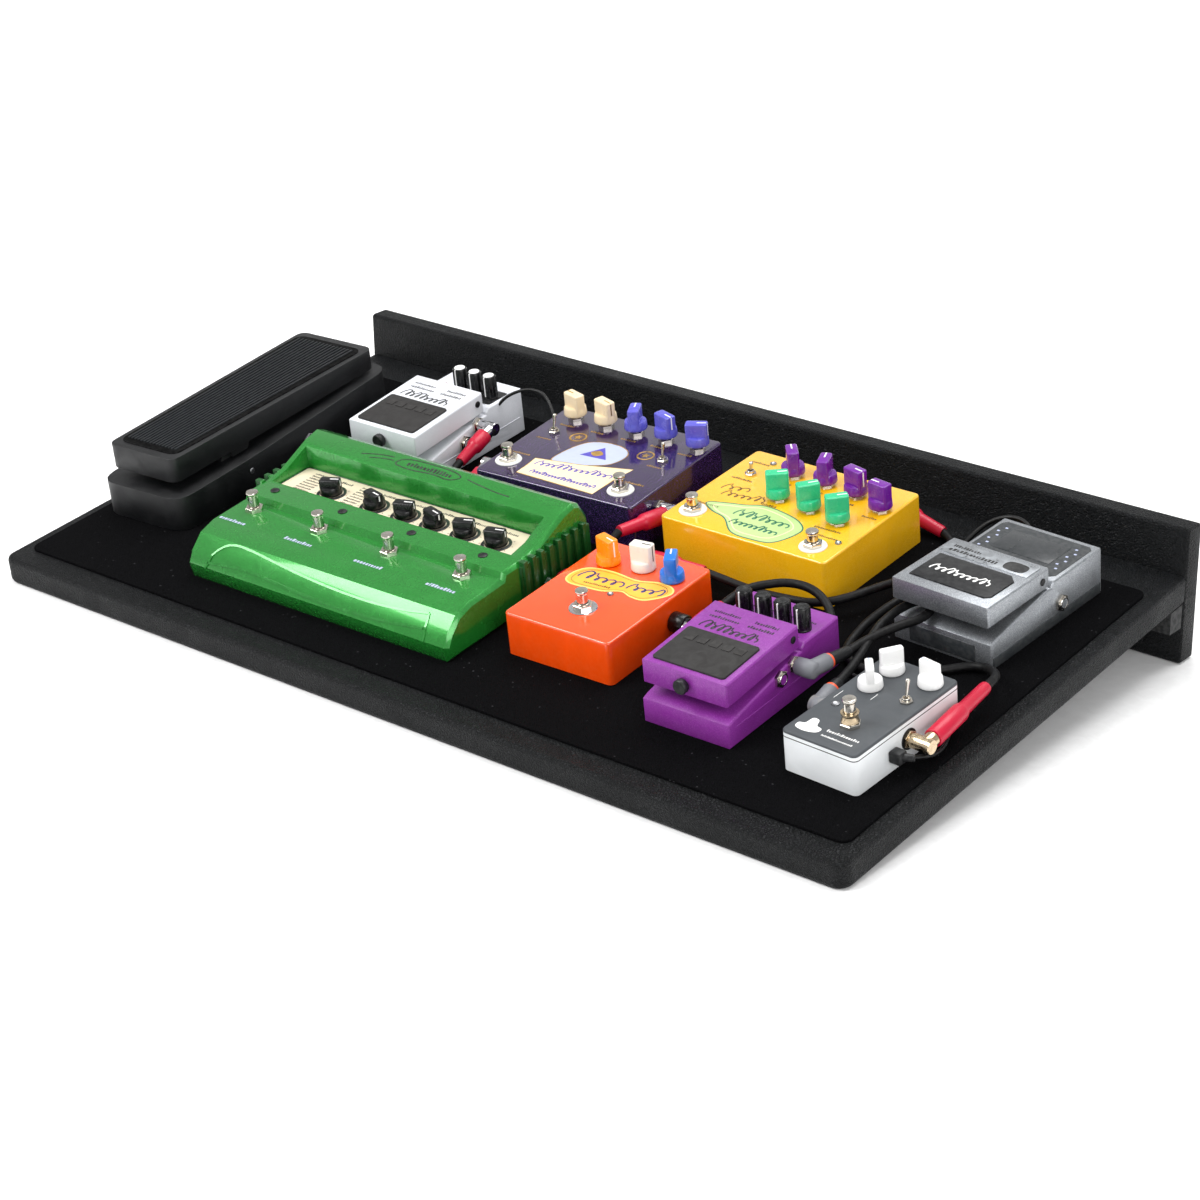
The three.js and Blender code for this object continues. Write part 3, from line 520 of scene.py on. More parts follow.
YELLOW = Paint(
    "amber yellow paint", "#f6b70a", roughness=0.2, coat=0.9, texture_scale=260.0,
    chipped="#ffe58a", flake="#f8c024", flake_share=0.3,
)
ORANGE = Paint(
    "orange paint", "#fb4f06", roughness=0.18, coat=0.9, texture_scale=240.0,
    chipped="#ff9a66",
)
WHITE_CASE = Paint(
    "satin white paint", "#eceff1", roughness=0.35, texture_scale=900.0, wear=0.05
)
SLATE_TOP = Paint("matt slate paint", "#43474b", roughness=0.5, chipped="#8c9196", wear=0.1)
PANEL_CREAM = Paint(
    "cream printed panel", "#e6d7bd", roughness=0.4, texture_scale=500.0,
    texture_depth=0.00004, wear=0.0,
)
NICKEL = Plated("bright nickel", "#dcd6cc")
BRASSY = Plated("warm nickel brass", "#d9c3a2", roughness=0.2)
STEEL = Plated("dull steel", "#9c9da0", roughness=0.32)
CHROME = Plated("chrome", "#e9eaec", roughness=0.07)
NYLON = Moulded("white nylon washer", "#e9e9e4", roughness=0.4)
BLACK_GLOSS = Moulded("glossy black plastic", "#090a0b", roughness=0.28, coat=0.1, specular=0.35)
BLACK_SATIN = Moulded("satin black plastic", "#121315", roughness=0.42, specular=0.35)
PAD_RUBBER = Moulded(
    "textured pad rubber", "#201e1d", roughness=0.7, texture_scale=1400.0,
    texture_depth=0.0001, rubbed="#4a4744", wear=0.2,
)
CREAM_KNOB = Moulded("cream plastic", "#efd9b4", roughness=0.3, coat=0.2)
PERIWINKLE = Moulded("periwinkle plastic", "#5a58c4", roughness=0.26, coat=0.3)
PLUM = Moulded("plum plastic", "#6d1195", roughness=0.24, coat=0.4)
MINT = Moulded("mint plastic", "#2fbf85", roughness=0.26, coat=0.3)
AMBER = Moulded("amber plastic", "#ff9208", roughness=0.26, coat=0.3)
IVORY = Moulded("ivory plastic", "#ece6da", roughness=0.3, coat=0.2)
WHITE_KNOB = Moulded("white plastic", "#f3f3f2", roughness=0.3, coat=0.2)
BLUE = Moulded("bright blue plastic", "#1273d8", roughness=0.22, coat=0.4)
CRIMSON = Moulded("crimson sleeve", "#bd0a32", roughness=0.34)
PLUG_GREY = Moulded("grey moulded plug", "#75777c", roughness=0.5, rubbed="#c9b9a0", wear=0.3)
RING_ORANGE = Moulded("orange ring", "#f0562a", roughness=0.4)
JACKET = Moulded("black cable jacket", "#060607", roughness=0.5, specular=0.22)
THIN_JACKET = Moulded("thin black wire", "#050505", roughness=0.4, specular=0.3)
INK_BLACK = Moulded("black print", "#151515", roughness=0.5)
INK_WHITE = Moulded("white print", "#f2f2f0", roughness=0.5)
INK_GOLD = Plated("gold print", "#d9b26a", roughness=0.4)
INK_CREAM = Moulded("cream print", "#f0ddb4", roughness=0.45)
INK_PALE = Moulded("pale blue print", "#b4bcd8", roughness=0.45)
INK_INDIGO = Moulded("indigo print", "#4a3fae", roughness=0.45)
INK_MINT = Moulded("mint print", "#b4cf86", roughness=0.4)
INK_TEAL = Moulded("teal print", "#1c6a4e", roughness=0.45)
INK_SUN = Moulded("sunny print", "#ffb53a", roughness=0.35)
INK_PALE_SUN = Moulded("pale sunny print", "#ffdc74", roughness=0.35)
INK_NAVY = Moulded("navy print", "#1d2a6c", roughness=0.4)
INK_BROWN = Moulded("brown print", "#4f3410", roughness=0.5)
INK_SILVER = Plated("silver print", "#b3b7bb", roughness=0.4)
# The green paint darkened: painted shade on the ribbed vents.
SHADED_VENT_GREEN = Moulded("green vent in painted shade", "#114a1c", roughness=0.3, rubbed="#2f7a35", wear=0.2)
# Near black: painted shade in the jack openings and screw sockets, and the dark seam line on the mini
# pedal.
HOLE_SHADE_AND_SEAM = Moulded("painted hole shade and seam black", "#030303", roughness=0.9)
RED_LENS = Lamp("red lamp lens", "#7a0b12")
CLEAR_LENS = Lamp("clear lamp lens", "#c9ced6")
DISPLAY = Moulded("dark display glass", "#24282b", roughness=0.3, coat=0.15)


# ---- places ----


@dataclass(frozen=True)
class DeckSizes:
    """The board's slope and heights, in millimetres from the deck's underside.

    Attributes:
        slope: The deck's angle to the floor, in degrees.
        depth: The deck's length up the slope, from its front edge to the rail.
        top: The height of the deck's upper face.
        stand: The height that the pedals stand at.
    """

    slope: float = 6.6
    depth: float = 424.0
    top: float = 21.0
    stand: float = 23.3


class Place:
    """Axes that a sub-assembly is built in, in millimetres, and their way into the frame."""

    def __init__(self, matrix: Matrix) -> None:
        """Keep the axes' matrix, from millimetres to the frame's metres."""
        self.matrix = matrix

    def inner(
        self, x: float, y: float, z: float = 0.0, yaw: float = 0.0, pitch: float = 0.0
    ) -> "Place":
        """Axes inside these.

        Args:
            x: The new origin's place along X, in millimetres.
            y: Its place along Y.
            z: Its height.
            yaw: The turn about Z, in degrees.
            pitch: The turn about the new X axis, in degrees.

        Returns:
            The new axes.
        """
        turn = Matrix.Rotation(radians(yaw), 4, "Z") @ Matrix.Rotation(
            radians(pitch), 4, "X"
        )
        return Place(self.matrix @ Matrix.Translation((x, y, z)) @ turn)

    def facing(self, x: float, y: float, z: float, side: str) -> "Place":
        """Axes on a side wall, whose Z points out of it and whose Y points up.

        Args:
            x: The new origin's place along X, in millimetres.
            y: Its place along Y.
            z: Its height.
            side: The wall: right, left, front or rear.

        Returns:
            The new axes.
        """
        turns = {"right": 90.0, "left": -90.0, "front": 0.0, "rear": 180.0}
        spin = Matrix.Rotation(radians(turns[side]), 4, "Z")
        lift = Matrix.Rotation(radians(90.0), 4, "X")
        return Place(self.matrix @ Matrix.Translation((x, y, z)) @ spin @ lift)

    def point(self, x: float, y: float, z: float) -> Vector:
        """A point of these axes in the frame, in metres."""
        return self.matrix @ Vector((x, y, z))

    @staticmethod
    def on_deck() -> "Place":
        """The deck's own axes: X along it, Y up the slope, Z out of its underside."""
        deck = DeckSizes()
        rail_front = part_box("back_rail")[0][1] / MM
        run = deck.depth * cos(radians(deck.slope)) + 0.3
        lift = -3.0 * sin(radians(deck.slope))
        tilt = Matrix.Rotation(radians(deck.slope), 4, "X")
        slide = Matrix.Translation((0.0, (rail_front - run) * MM, lift * MM))
        return Place(slide @ tilt @ Matrix.Scale(MM, 4))

    @staticmethod
    def on_joint(joint: dict, ahead: float = 0.0) -> "Place":
        """Axes at a joint on the deck, standing out of it.

        Args:
            joint: The joint's entry in the record.
            ahead: The turn clockwise from the back, in degrees.

        Returns:
            The axes, whose origin is the joint's own.
        """
        tilt = Matrix.Rotation(radians(DeckSizes().slope), 4, "X")
        spin = Matrix.Rotation(radians(-ahead), 4, "Z")
        at = Matrix.Translation(Vector(joint["pos_m"]))
        return Place(at @ tilt @ spin @ Matrix.Scale(MM, 4))


def pointing(at: Point, along: Vector) -> Matrix:
    """Axes at a point whose Z runs along a direction.

    Args:
        at: Their origin.
        along: The direction, of any length.

    Returns:
        The axes' matrix.
    """
    return Matrix.Translation(at) @ along.to_track_quat("Z", "Y").to_matrix().to_4x4()


JOINTS = {joint["child"]: joint for joint in frame["joints"]}


# ---- outlines and shapes ----


def smooth_outline(corners: Outline, steps: int = 6) -> Points:
    """A closed outline that runs smoothly through its corners.

    Args:
        corners: The points to run through, in order.
        steps: How many points to make for each of them.

    Returns:
        The outline's points.
    """
    count = len(corners)
    points = []
    for i in range(count):
        p0, p1, p2, p3 = (Vector(corners[(i + k - 1) % count]) for k in range(4))
        for step in range(steps):
            t = step / steps
            a = 2 * p1 + (p2 - p0) * t
            b = (2 * p0 - 5 * p1 + 4 * p2 - p3) * t * t
            c = (3 * p1 - p0 - 3 * p2 + p3) * t**3
            points.append(tuple((a + b + c) * 0.5))
    return points


def round_outline(
    x0: float, y0: float, x1: float, y1: float, radius: float, steps: int = 6
) -> Points:
    """A rectangle's outline with rounded corners.

    Args:
        x0: Its left edge.
        y0: Its front edge.
        x1: Its right edge.
        y1: Its rear edge.
        radius: The corners' radius.
        steps: The points along each corner.

    Returns:
        The outline's points, anticlockwise.
    """
    centres = [
        (x1 - radius, y0 + radius, -90),
        (x1 - radius, y1 - radius, 0),
        (x0 + radius, y1 - radius, 90),
        (x0 + radius, y0 + radius, 180),
    ]
    points = []
    for x, y, start in centres:
        for step in range(steps + 1):
            turn = radians(start + 90 * step / steps)
            points.append((x + radius * cos(turn), y + radius * sin(turn)))
    return points


def rounded_line(line: Sequence[Point], radius: float, steps: int = 5) -> list[Vector]:
    """A line through points with its corners rounded.

    Args:
        line: The points.
        radius: How far from a corner its rounding may start.
        steps: How finely each corner is rounded.

    Returns:
        The line's points.
    """
    points = [Vector(p) for p in line]
    out = [points[0]]
    for before, corner, after in zip(points, points[1:], points[2:]):
        into, away = before - corner, after - corner
        reach = min(radius, into.length * 0.45, away.length * 0.45)
        start = corner + into.normalized() * reach
        end = corner + away.normalized() * reach
        for step in range(steps + 1):
            t = step / steps
            out.append(start * (1 - t) ** 2 + corner * 2 * t * (1 - t) + end * t * t)
    out.append(points[-1])
    return out


def round_off(
    bm: bmesh.types.BMesh, edges: Iterable[bmesh.types.BMEdge], width: float, segments: int
) -> None:
    """Round some of a mesh's edges off.

    Args:
        bm: The mesh.
        edges: The edges.
        width: How far from each edge its rounding starts.
        segments: How finely it is rounded.
    """
    bmesh.ops.bevel(
        bm, geom=list(edges), offset=width, offset_type="OFFSET", affect="EDGES",
        segments=segments, profile=0.5, material=-1, clamp_overlap=True,
    )


class Shape:
    """A mesh in the making, in the millimetres of a place."""

    def __init__(self) -> None:
        """Start with nothing."""
        self.bm = bmesh.new()

    def _added(self, count: int) -> list[bmesh.types.BMVert]:
        """The vertices added since there were count of them."""
        self.bm.verts.ensure_lookup_table()
        return self.bm.verts[count:]

    def box(self, low: Point, high: Point, bevel: float = 0.0, segments: int = 2) -> "Shape":
        """Add a box between two corners.

        Args:
            low: Its lowest corner.
            high: Its highest corner.
            bevel: How far its edges are rounded off.
            segments: How finely they are rounded.

        Returns:
            This shape.
        """
        size = Vector(high) - Vector(low)
        matrix = Matrix.Translation((Vector(high) + Vector(low)) / 2) @ Matrix.Diagonal(
            (*size, 1.0)
        )
        made = bmesh.ops.create_cube(self.bm, size=1.0, matrix=matrix)["verts"]
        if bevel:
            round_off(self.bm, {e for v in made for e in v.link_edges}, bevel, segments)
        return self

    def plate(
        self, outline: Outline, low: float, high: float, bevel: float = 0.0, segments: int = 2
    ) -> "Shape":
        """Add a flat plate with an outline.

        Args:
            outline: Its outline from above.
            low: The height of its underside.
            high: The height of its top.
            bevel: How far its top edge is rounded off.
            segments: How finely the edge is rounded.

        Returns:
            This shape.
        """
        verts = [self.bm.verts.new((x, y, low)) for x, y in outline]
        face = self.bm.faces.new(verts)
        face.normal_update()
        if face.normal.z > 0:
            face.normal_flip()
        raised = bmesh.ops.extrude_face_region(self.bm, geom=[face], use_keep_orig=True)["geom"]
        top = [g for g in raised if isinstance(g, bmesh.types.BMFace)][0]
        for vert in top.verts:
            vert.co.z = high
        if bevel:
            round_off(self.bm, top.edges, bevel, segments)
        return self

    def turned(
        self, profile: Outline, at: Point = (0, 0, 0), sides: int = 32
    ) -> "Shape":
        """Add a turned piece about Z.

        Args:
            profile: Its half section, as (radius, height) points.
            at: Where its axis meets its zero height.
            sides: How many sides it has.

        Returns:
            This shape.
        """
        count = len(self.bm.verts)
        verts = [self.bm.verts.new((r, 0.0, z)) for r, z in profile]
        edges = [self.bm.edges.new(pair) for pair in zip(verts, verts[1:])]
        bmesh.ops.spin(
            self.bm, geom=verts + edges, cent=(0, 0, 0), axis=(0, 0, 1), angle=tau,
            steps=sides, use_merge=True,
        )
        made = self._added(count)
        bmesh.ops.remove_doubles(self.bm, verts=made, dist=1e-4)
        bmesh.ops.translate(self.bm, verts=self._added(count), vec=Vector(at))
        return self

    def rod(
        self, start: Point, end: Point, radius: float, end_radius: float, sides: int = 20
    ) -> "Shape":
        """Add a tapered rod between two points.

        Args:
            start: The middle of its first end.
            end: The middle of its other end.
            radius: Its radius at the first end.
            end_radius: Its radius at the other end.
            sides: How many sides it has.

        Returns:
            This shape.
        """
        start, end = Vector(start), Vector(end)
        bmesh.ops.create_cone(
            self.bm, cap_ends=True, segments=sides, radius1=radius, radius2=end_radius,
            depth=(end - start).length, matrix=pointing((start + end) / 2, end - start),
        )
        return self

    def hexagon(self, at: Point, flats: float, height: float, turn: float = 0.0) -> "Shape":
        """Add a hexagonal nut with its top corners chamfered.

        Args:
            at: The middle of its underside.
            flats: Its width across flats.
            height: How tall it is.
            turn: Its turn, in degrees.

        Returns:
            This shape.
        """
        count = len(self.bm.verts)
        radius = flats / sqrt(3)
        profile = [
            (
                radius * cos(radians(60 * i + turn)),
                radius * sin(radians(60 * i + turn)),
            )
            for i in range(6)
        ]
        self.plate(profile, 0.0, height, min(0.5, height / 3), 1)
        bmesh.ops.translate(self.bm, verts=self._added(count), vec=Vector(at))
        return self

    def ball(self, at: Point, radius: float, squash: float = 1.0) -> "Shape":
        """Add a ball.

        Args:
            at: Its middle.
            radius: Its radius.
            squash: Its height as a share of its width.

        Returns:
            This shape.
        """
        matrix = Matrix.Translation(at) @ Matrix.Diagonal((1.0, 1.0, squash, 1.0))
        bmesh.ops.create_uvsphere(
            self.bm, u_segments=20, v_segments=10, radius=radius, matrix=matrix
        )
        return self

    def ribbon(
        self, line: Sequence[Point], width: float, height: float, closed: bool = False
    ) -> "Shape":
        """Add a flat printed line along points on a face.

        Args:
            line: The points along its middle, each (x, y, z).
            width: The line's width.
            height: How far it stands out of the face.
            closed: Whether its end meets its start.

        Returns:
            This shape.
        """
        points = [Vector(p) for p in line]
        count = len(points)
        sides = []
        for i, point in enumerate(points):
            before = points[i - 1] if i or closed else point
            after = points[(i + 1) % count] if i < count - 1 or closed else point
            along = (after - before).normalized()
            across = Vector((0, 0, 1)).cross(along).normalized() * width / 2
            sides.append(
                [self.bm.verts.new(point + across), self.bm.verts.new(point - across)]
            )
        pairs = list(zip(sides, sides[1:] + sides[:1] if closed else sides[1:]))
        faces = [
            self.bm.faces.new((a[0], a[1], b[1], b[0])) for a, b in pairs
        ]
        raised = bmesh.ops.extrude_face_region(self.bm, geom=faces, use_keep_orig=True)["geom"]
        tops = [g for g in raised if isinstance(g, bmesh.types.BMVert)]
        bmesh.ops.translate(self.bm, verts=tops, vec=(0, 0, height))
        return self

    def moved(self, matrix: Matrix) -> "Shape":
        """Move everything so far by a matrix."""
        self.bm.transform(matrix)
        return self


def put(
    name: str,
    shape: Shape,
    place: Place,
    finish: Finish,
    body: str = BOARD,
    angle: float = 35.0,
    replaces: Sequence[str] = (),
) -> bpy.types.Object:
    """Turn a shape into a piece of the scene.

    Args:
        name: The piece's name.
        shape: Its shape, in the place's millimetres.
        place: The axes that it was made in.
        finish: Its finish.
        body: The body that it moves with.
        angle: The angle between faces above which an edge stays sharp, in degrees.
        replaces: The CAD nodes that it stands for.

    Returns:
        The piece.
    """
    bm = shape.bm
    bm.transform(place.matrix)
    bmesh.ops.recalc_face_normals(bm, faces=bm.faces[:])
    mesh = bpy.data.meshes.new(name)
    bm.to_mesh(mesh)
    bm.free()
    mesh.shade_smooth()
    mesh.set_sharp_from_angle(angle=radians(angle))
    piece = bpy.data.objects.new(name, mesh)
    bpy.context.scene.collection.objects.link(piece)
    mesh.materials.append(finish.material())
    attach(piece, body)
    if replaces:
        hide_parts(*replaces)
    LOG.info("made %s: %d faces, on %s", name, len(mesh.polygons), body)
    return piece


def refined(
    node: str,
    finish: Finish,
    body: str = BOARD,
    bevel: float = 0.5,
    angle: float = 30.0,
    limit: float = 24.0,
) -> None:
    """Make a finer copy of a CAD node that stands for it, its sharp edges eased.

    Args:
        node: The CAD node.
        finish: The copy's finish.
        body: The body that it moves with.
        bevel: How far its sharp edges are rounded off, in millimetres.
        angle: The angle between faces above which an edge is sharp, in degrees.
        limit: The least angle at an edge that is rounded off, in degrees.
    """
    bm = bmesh.new()
    bm.from_mesh(frame["nodes"][node].data)
    bmesh.ops.remove_doubles(bm, verts=bm.verts[:], dist=1e-6)
    bmesh.ops.dissolve_limit(
        bm, angle_limit=radians(0.5), verts=bm.verts[:], edges=bm.edges[:]
    )
    if bevel:
        sharp = [
            e
            for e in bm.edges
            if len(e.link_faces) == 2 and e.calc_face_angle(0.0) > radians(limit)
        ]
        round_off(bm, sharp, bevel * MM, 2)
    shape = Shape()
    shape.bm = bm
    put(
        f"{node}_skin", shape, Place(Matrix.Identity(4)), finish, body, angle, [node]
    )


# ---- studio ----


@dataclass
class Studio:
    """The camera, the floor and the lights.

    Attributes:
        aim: The point the camera looks at, in metres.
        azimuth: The camera's direction from it, in degrees to the right of the front.
        elevation: The camera's height above the floor's plane, in degrees.
        distance: How far away it is, in metres.
        roll: How far it leans, in degrees.
        lens: Its focal length, in millimetres.
    """

    aim: Point = (0.02728, -0.00548, 0.0237)
    azimuth: float = 39.82
    elevation: float = 24.08
    distance: float = 2.18643
    roll: float = -0.902
    lens: float = 87.865

    def build(self) -> None:
        """Make all of it."""
        self._camera()
        self._floor()
        self._lights()

    def _camera(self) -> None:
        """Set the camera up."""
        data = bpy.data.cameras.new("camera")
        data.lens = self.lens
        data.sensor_width = 36.0
        data.dof.use_dof = False
        camera = bpy.data.objects.new("camera", data)
        turn, rise = radians(self.azimuth), radians(self.elevation)
        flat = cos(rise)
        back = Vector((sin(turn) * flat, -cos(turn) * flat, sin(rise)))
        lean = Matrix.Rotation(radians(self.roll), 4, "Z")
        camera.matrix_world = pointing(Vector(self.aim) + back * self.distance, back) @ lean
        bpy.context.scene.collection.objects.link(camera)
        bpy.context.scene.camera = camera
        LOG.info("made the camera, %.2f m away", self.distance)

    def _floor(self) -> None:
        """Lay a plain pale floor, just below the feet, that curves up into a backdrop."""
        shape = Shape()
        drop = 0.0004
        profile = rounded_line([(0, -6, 0), (0, 5, 0), (0, 5, 5)], 2.0, 12)
        verts = [shape.bm.verts.new((-9, p.y, p.z - drop)) for p in profile]
        edges = [shape.bm.edges.new(pair) for pair in zip(verts, verts[1:])]
        run = bmesh.ops.extrude_edge_only(shape.bm, edges=edges)["geom"]
        far = [g for g in run if isinstance(g, bmesh.types.BMVert)]
        bmesh.ops.translate(shape.bm, verts=far, vec=(18, 0, 0))
        mesh = bpy.data.meshes.new("floor")
        shape.bm.to_mesh(mesh)
        shape.bm.free()
        mesh.shade_smooth()
        floor = bpy.data.objects.new("floor", mesh)
        bpy.context.scene.collection.objects.link(floor)
        mesh.materials.append(Moulded("pale floor", "#ffffff", roughness=0.9).material())

    def _lights(self) -> None:
        """Hang soft lamps and light the room evenly."""
        lamps = [
            ("key", (-1.6, -1.9, 2.6), 1.8, 95.0),
            ("fill", (2.8, -1.6, 1.6), 2.0, 45.0),
            ("top", (0.2, 0.9, 3.0), 2.2, 75.0),
        ]
        for name, where, size, power in lamps:
            data = bpy.data.lights.new(name, "AREA")
            data.shape = "SQUARE"
            data.size = size
            data.energy = power
            lamp = bpy.data.objects.new(name, data)
            aim = Vector(where) - Vector((0.0, 0.0, 0.05))
            lamp.matrix_world = pointing(where, aim)
            bpy.context.scene.collection.objects.link(lamp)
        world = bpy.context.scene.world or bpy.data.worlds.new("room")
        bpy.context.scene.world = world
        world.use_nodes = True
        sky = world.node_tree.nodes["Background"]
        sky.inputs[0].default_value = (1.0, 1.0, 1.0, 1.0)
        sky.inputs[1].default_value = 0.5
        bpy.context.scene.view_settings.view_transform = "Standard"
        LOG.info("made %d lamps", len(lamps))


# ---- cords ----


class PlugKind(Enum):
    """The plugs that the patch leads have."""

    CRIMSON = "chrome block with a crimson sleeve"
    MOULDED = "grey moulded angle plug"
    STRAIGHT = "straight black plug"


@dataclass
class Socket:
    """A jack on a pedal.

    Attributes:
        place: The pedal's axes.
        at: The point of the case's face at the jack's middle.
        out: The direction the jack faces, in the pedal's axes.
    """

    place: Place
    at: Point
    out: Point

    def along(self, reach: float) -> Vector:
        """The point so far out of the jack, in metres in the frame."""
        return self.place.point(*(Vector(self.at) + Vector(self.out) * reach))

    @property
    def way(self) -> Vector:
        """The direction the jack faces, in the frame."""
        return (self.along(10) - self.along(0)).normalized()


@dataclass
class Plug:
    """A plug on a jack: its block or barrel, its sleeve and its ring and boot.

    Attributes:
        socket: The jack that it is in.
        kind: What it looks like.
        tip: The end of its sleeve, in metres in the frame.
        reach: How far out its elbow is, in millimetres.
        metal: The plating of its block.
    """

    socket: Socket
    kind: PlugKind
    tip: Vector
    reach: float = 14.0
    metal: Finish = CHROME

    def build(self, name: str) -> Pieces:
        """Make the plug's pieces.

        Args:
            name: What their names start with.

        Returns:
            The pieces.
        """
        makers = {
            PlugKind.CRIMSON: self._crimson,
            PlugKind.MOULDED: self._moulded,
            PlugKind.STRAIGHT: self._straight,
        }
        return makers[self.kind](name)

    def _axes(self, start: Vector, along: Vector) -> Place:
        """Axes in millimetres whose Z runs from a point along a direction."""
        return Place(pointing(start, along) @ Matrix.Scale(MM, 4))

    def _sleeve_axes(self) -> tuple[Place, float]:
        """Axes along the sleeve from the elbow, and the sleeve's length."""
        elbow = self.socket.along(self.reach)
        run = self.tip - elbow
        return self._axes(elbow, run), run.length / MM

    def _crimson(self, name: str) -> Pieces:
        """A chrome angle block with a crimson sleeve over the cable.

        Args:
            name: What the pieces' names start with.

        Returns:
            The pieces.
        """
        sleeve, length = self._sleeve_axes()
        out = self._axes(self.socket.along(3.7), self.socket.way)
        block = Shape().turned([(0, 0), (5.0, 0), (5.4, 0.4), (5.4, 15.0), (4.9, 15.6), (0, 15.6)])
        collar = Shape().turned([(0, 0), (5.3, 0), (5.5, 0.5), (5.5, 8.4), (5.1, 8.8), (0, 8.8)])
        profile = [
            (0, 8.9), (6.2, 8.9), (6.6, 9.4), (6.6, length * 0.55), (6.1, length * 0.58),
            (5.0, length * 0.62), (4.6, length * 0.97), (4.2, length), (0, length),
        ]
        return [
            put(f"{name}_block", block, out, self.metal),
            put(f"{name}_collar", collar, sleeve, self.metal),
            put(f"{name}_sleeve", Shape().turned(profile), sleeve, CRIMSON, angle=50),
        ]

    def _moulded(self, name: str) -> Pieces:
        """A moulded grey angle plug with an orange ring and a black boot.

        Args:
            name: What the pieces' names start with.

        Returns:
            The pieces.
        """
        sleeve, length = self._sleeve_axes()
        out = self._axes(self.socket.along(3.7), self.socket.way)
        body = Shape().turned([(0, 0), (5.4, 0), (6.2, 0.8), (6.6, 9), (6.0, 14.6), (4.0, 16), (0, 16)])
        shaft = Shape().turned([(0, -4.6), (4.6, -4), (6.0, -1), (6.0, 17), (5.5, 17.8), (0, 17.8)])
        ring = Shape().turned([(0, 17.9), (5.4, 17.9), (5.4, 19.5), (0, 19.5)])
        boot = Shape().turned([
            (0, 19.6), (5.0, 19.6), (5.0, 21), (4.4, length - 2), (4.0, length), (0, length),
        ])
        tip = Shape().turned([(0, -3.6), (3.15, -3.6), (3.15, 0.2), (0, 0.2)])
        return [
            put(f"{name}_body", body, out, PLUG_GREY, angle=50),
            put(f"{name}_shank", tip, out, BRASSY),
            put(f"{name}_shaft", shaft, sleeve, PLUG_GREY, angle=50),
            put(f"{name}_ring", ring, sleeve, RING_ORANGE),
            put(f"{name}_boot", boot, sleeve, BLACK_SATIN, angle=50),
        ]

    def _straight(self, name: str) -> Pieces:
        """A straight black barrel plug.

        Args:
            name: What the pieces' names start with.

        Returns:
            The pieces.
        """
        start = self.socket.along(3.7)
        run = self.tip - start
        out = self._axes(start, run)
        length = run.length / MM
        barrel = Shape().turned([
            (0, -3.2), (7.2, -3.2), (7.6, -2.6), (7.4, 8.0), (6.9, 8.8), (5.9, 9.2),
            (5.9, length * 0.66), (5.0, length * 0.7), (4.5, length), (0, length),
        ])
        return [put(f"{name}_barrel", barrel, out, BLACK_GLOSS, angle=40)]


@dataclass
class Lead:
    """A cord that runs along a route.

    Attributes:
        name: Its name.
        route: The points that it runs through, in the deck's millimetres.
        diameter: Its diameter, in millimetres.
        plugs: The plugs at its ends.
        node: The CAD node that it stands for, if any.
        finish: Its jacket.
    """

    name: str
    route: Sequence[Point]
    diameter: float = 6.4
    plugs: Sequence[Plug] = ()
    node: str | None = None
    finish: Finish = JACKET

    def build(self, deck: Place) -> None:
        """Make the cord and its plugs.

        Args:
            deck: The deck's axes.
        """
        points = [deck.point(*p) for p in self.route]
        data = bpy.data.curves.new(self.name, "CURVE")
        data.dimensions = "3D"
        data.resolution_u = 10
        data.bevel_depth = self.diameter * MM / 2
        data.bevel_resolution = 5
        data.use_fill_caps = True
        spline = data.splines.new("BEZIER")
        spline.bezier_points.add(len(points) - 1)
        for i, point in enumerate(points):
            before = points[max(i - 1, 0)]
            after = points[min(i + 1, len(points) - 1)]
            way = (after - before).normalized()
            knot = spline.bezier_points[i]
            knot.co = point
            knot.handle_left = point - way * (point - before).length / 3
            knot.handle_right = point + way * (after - point).length / 3
        cord = bpy.data.objects.new(self.name, data)
        bpy.context.scene.collection.objects.link(cord)
        data.materials.append(self.finish.material())
        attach(cord, BOARD)
        if self.node:
            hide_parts(self.node)
        parts = [
            piece
            for end, plug in zip("ab", self.plugs)
            for piece in plug.build(f"{self.name}_plug_{end}")
        ]


# ---- controls ----


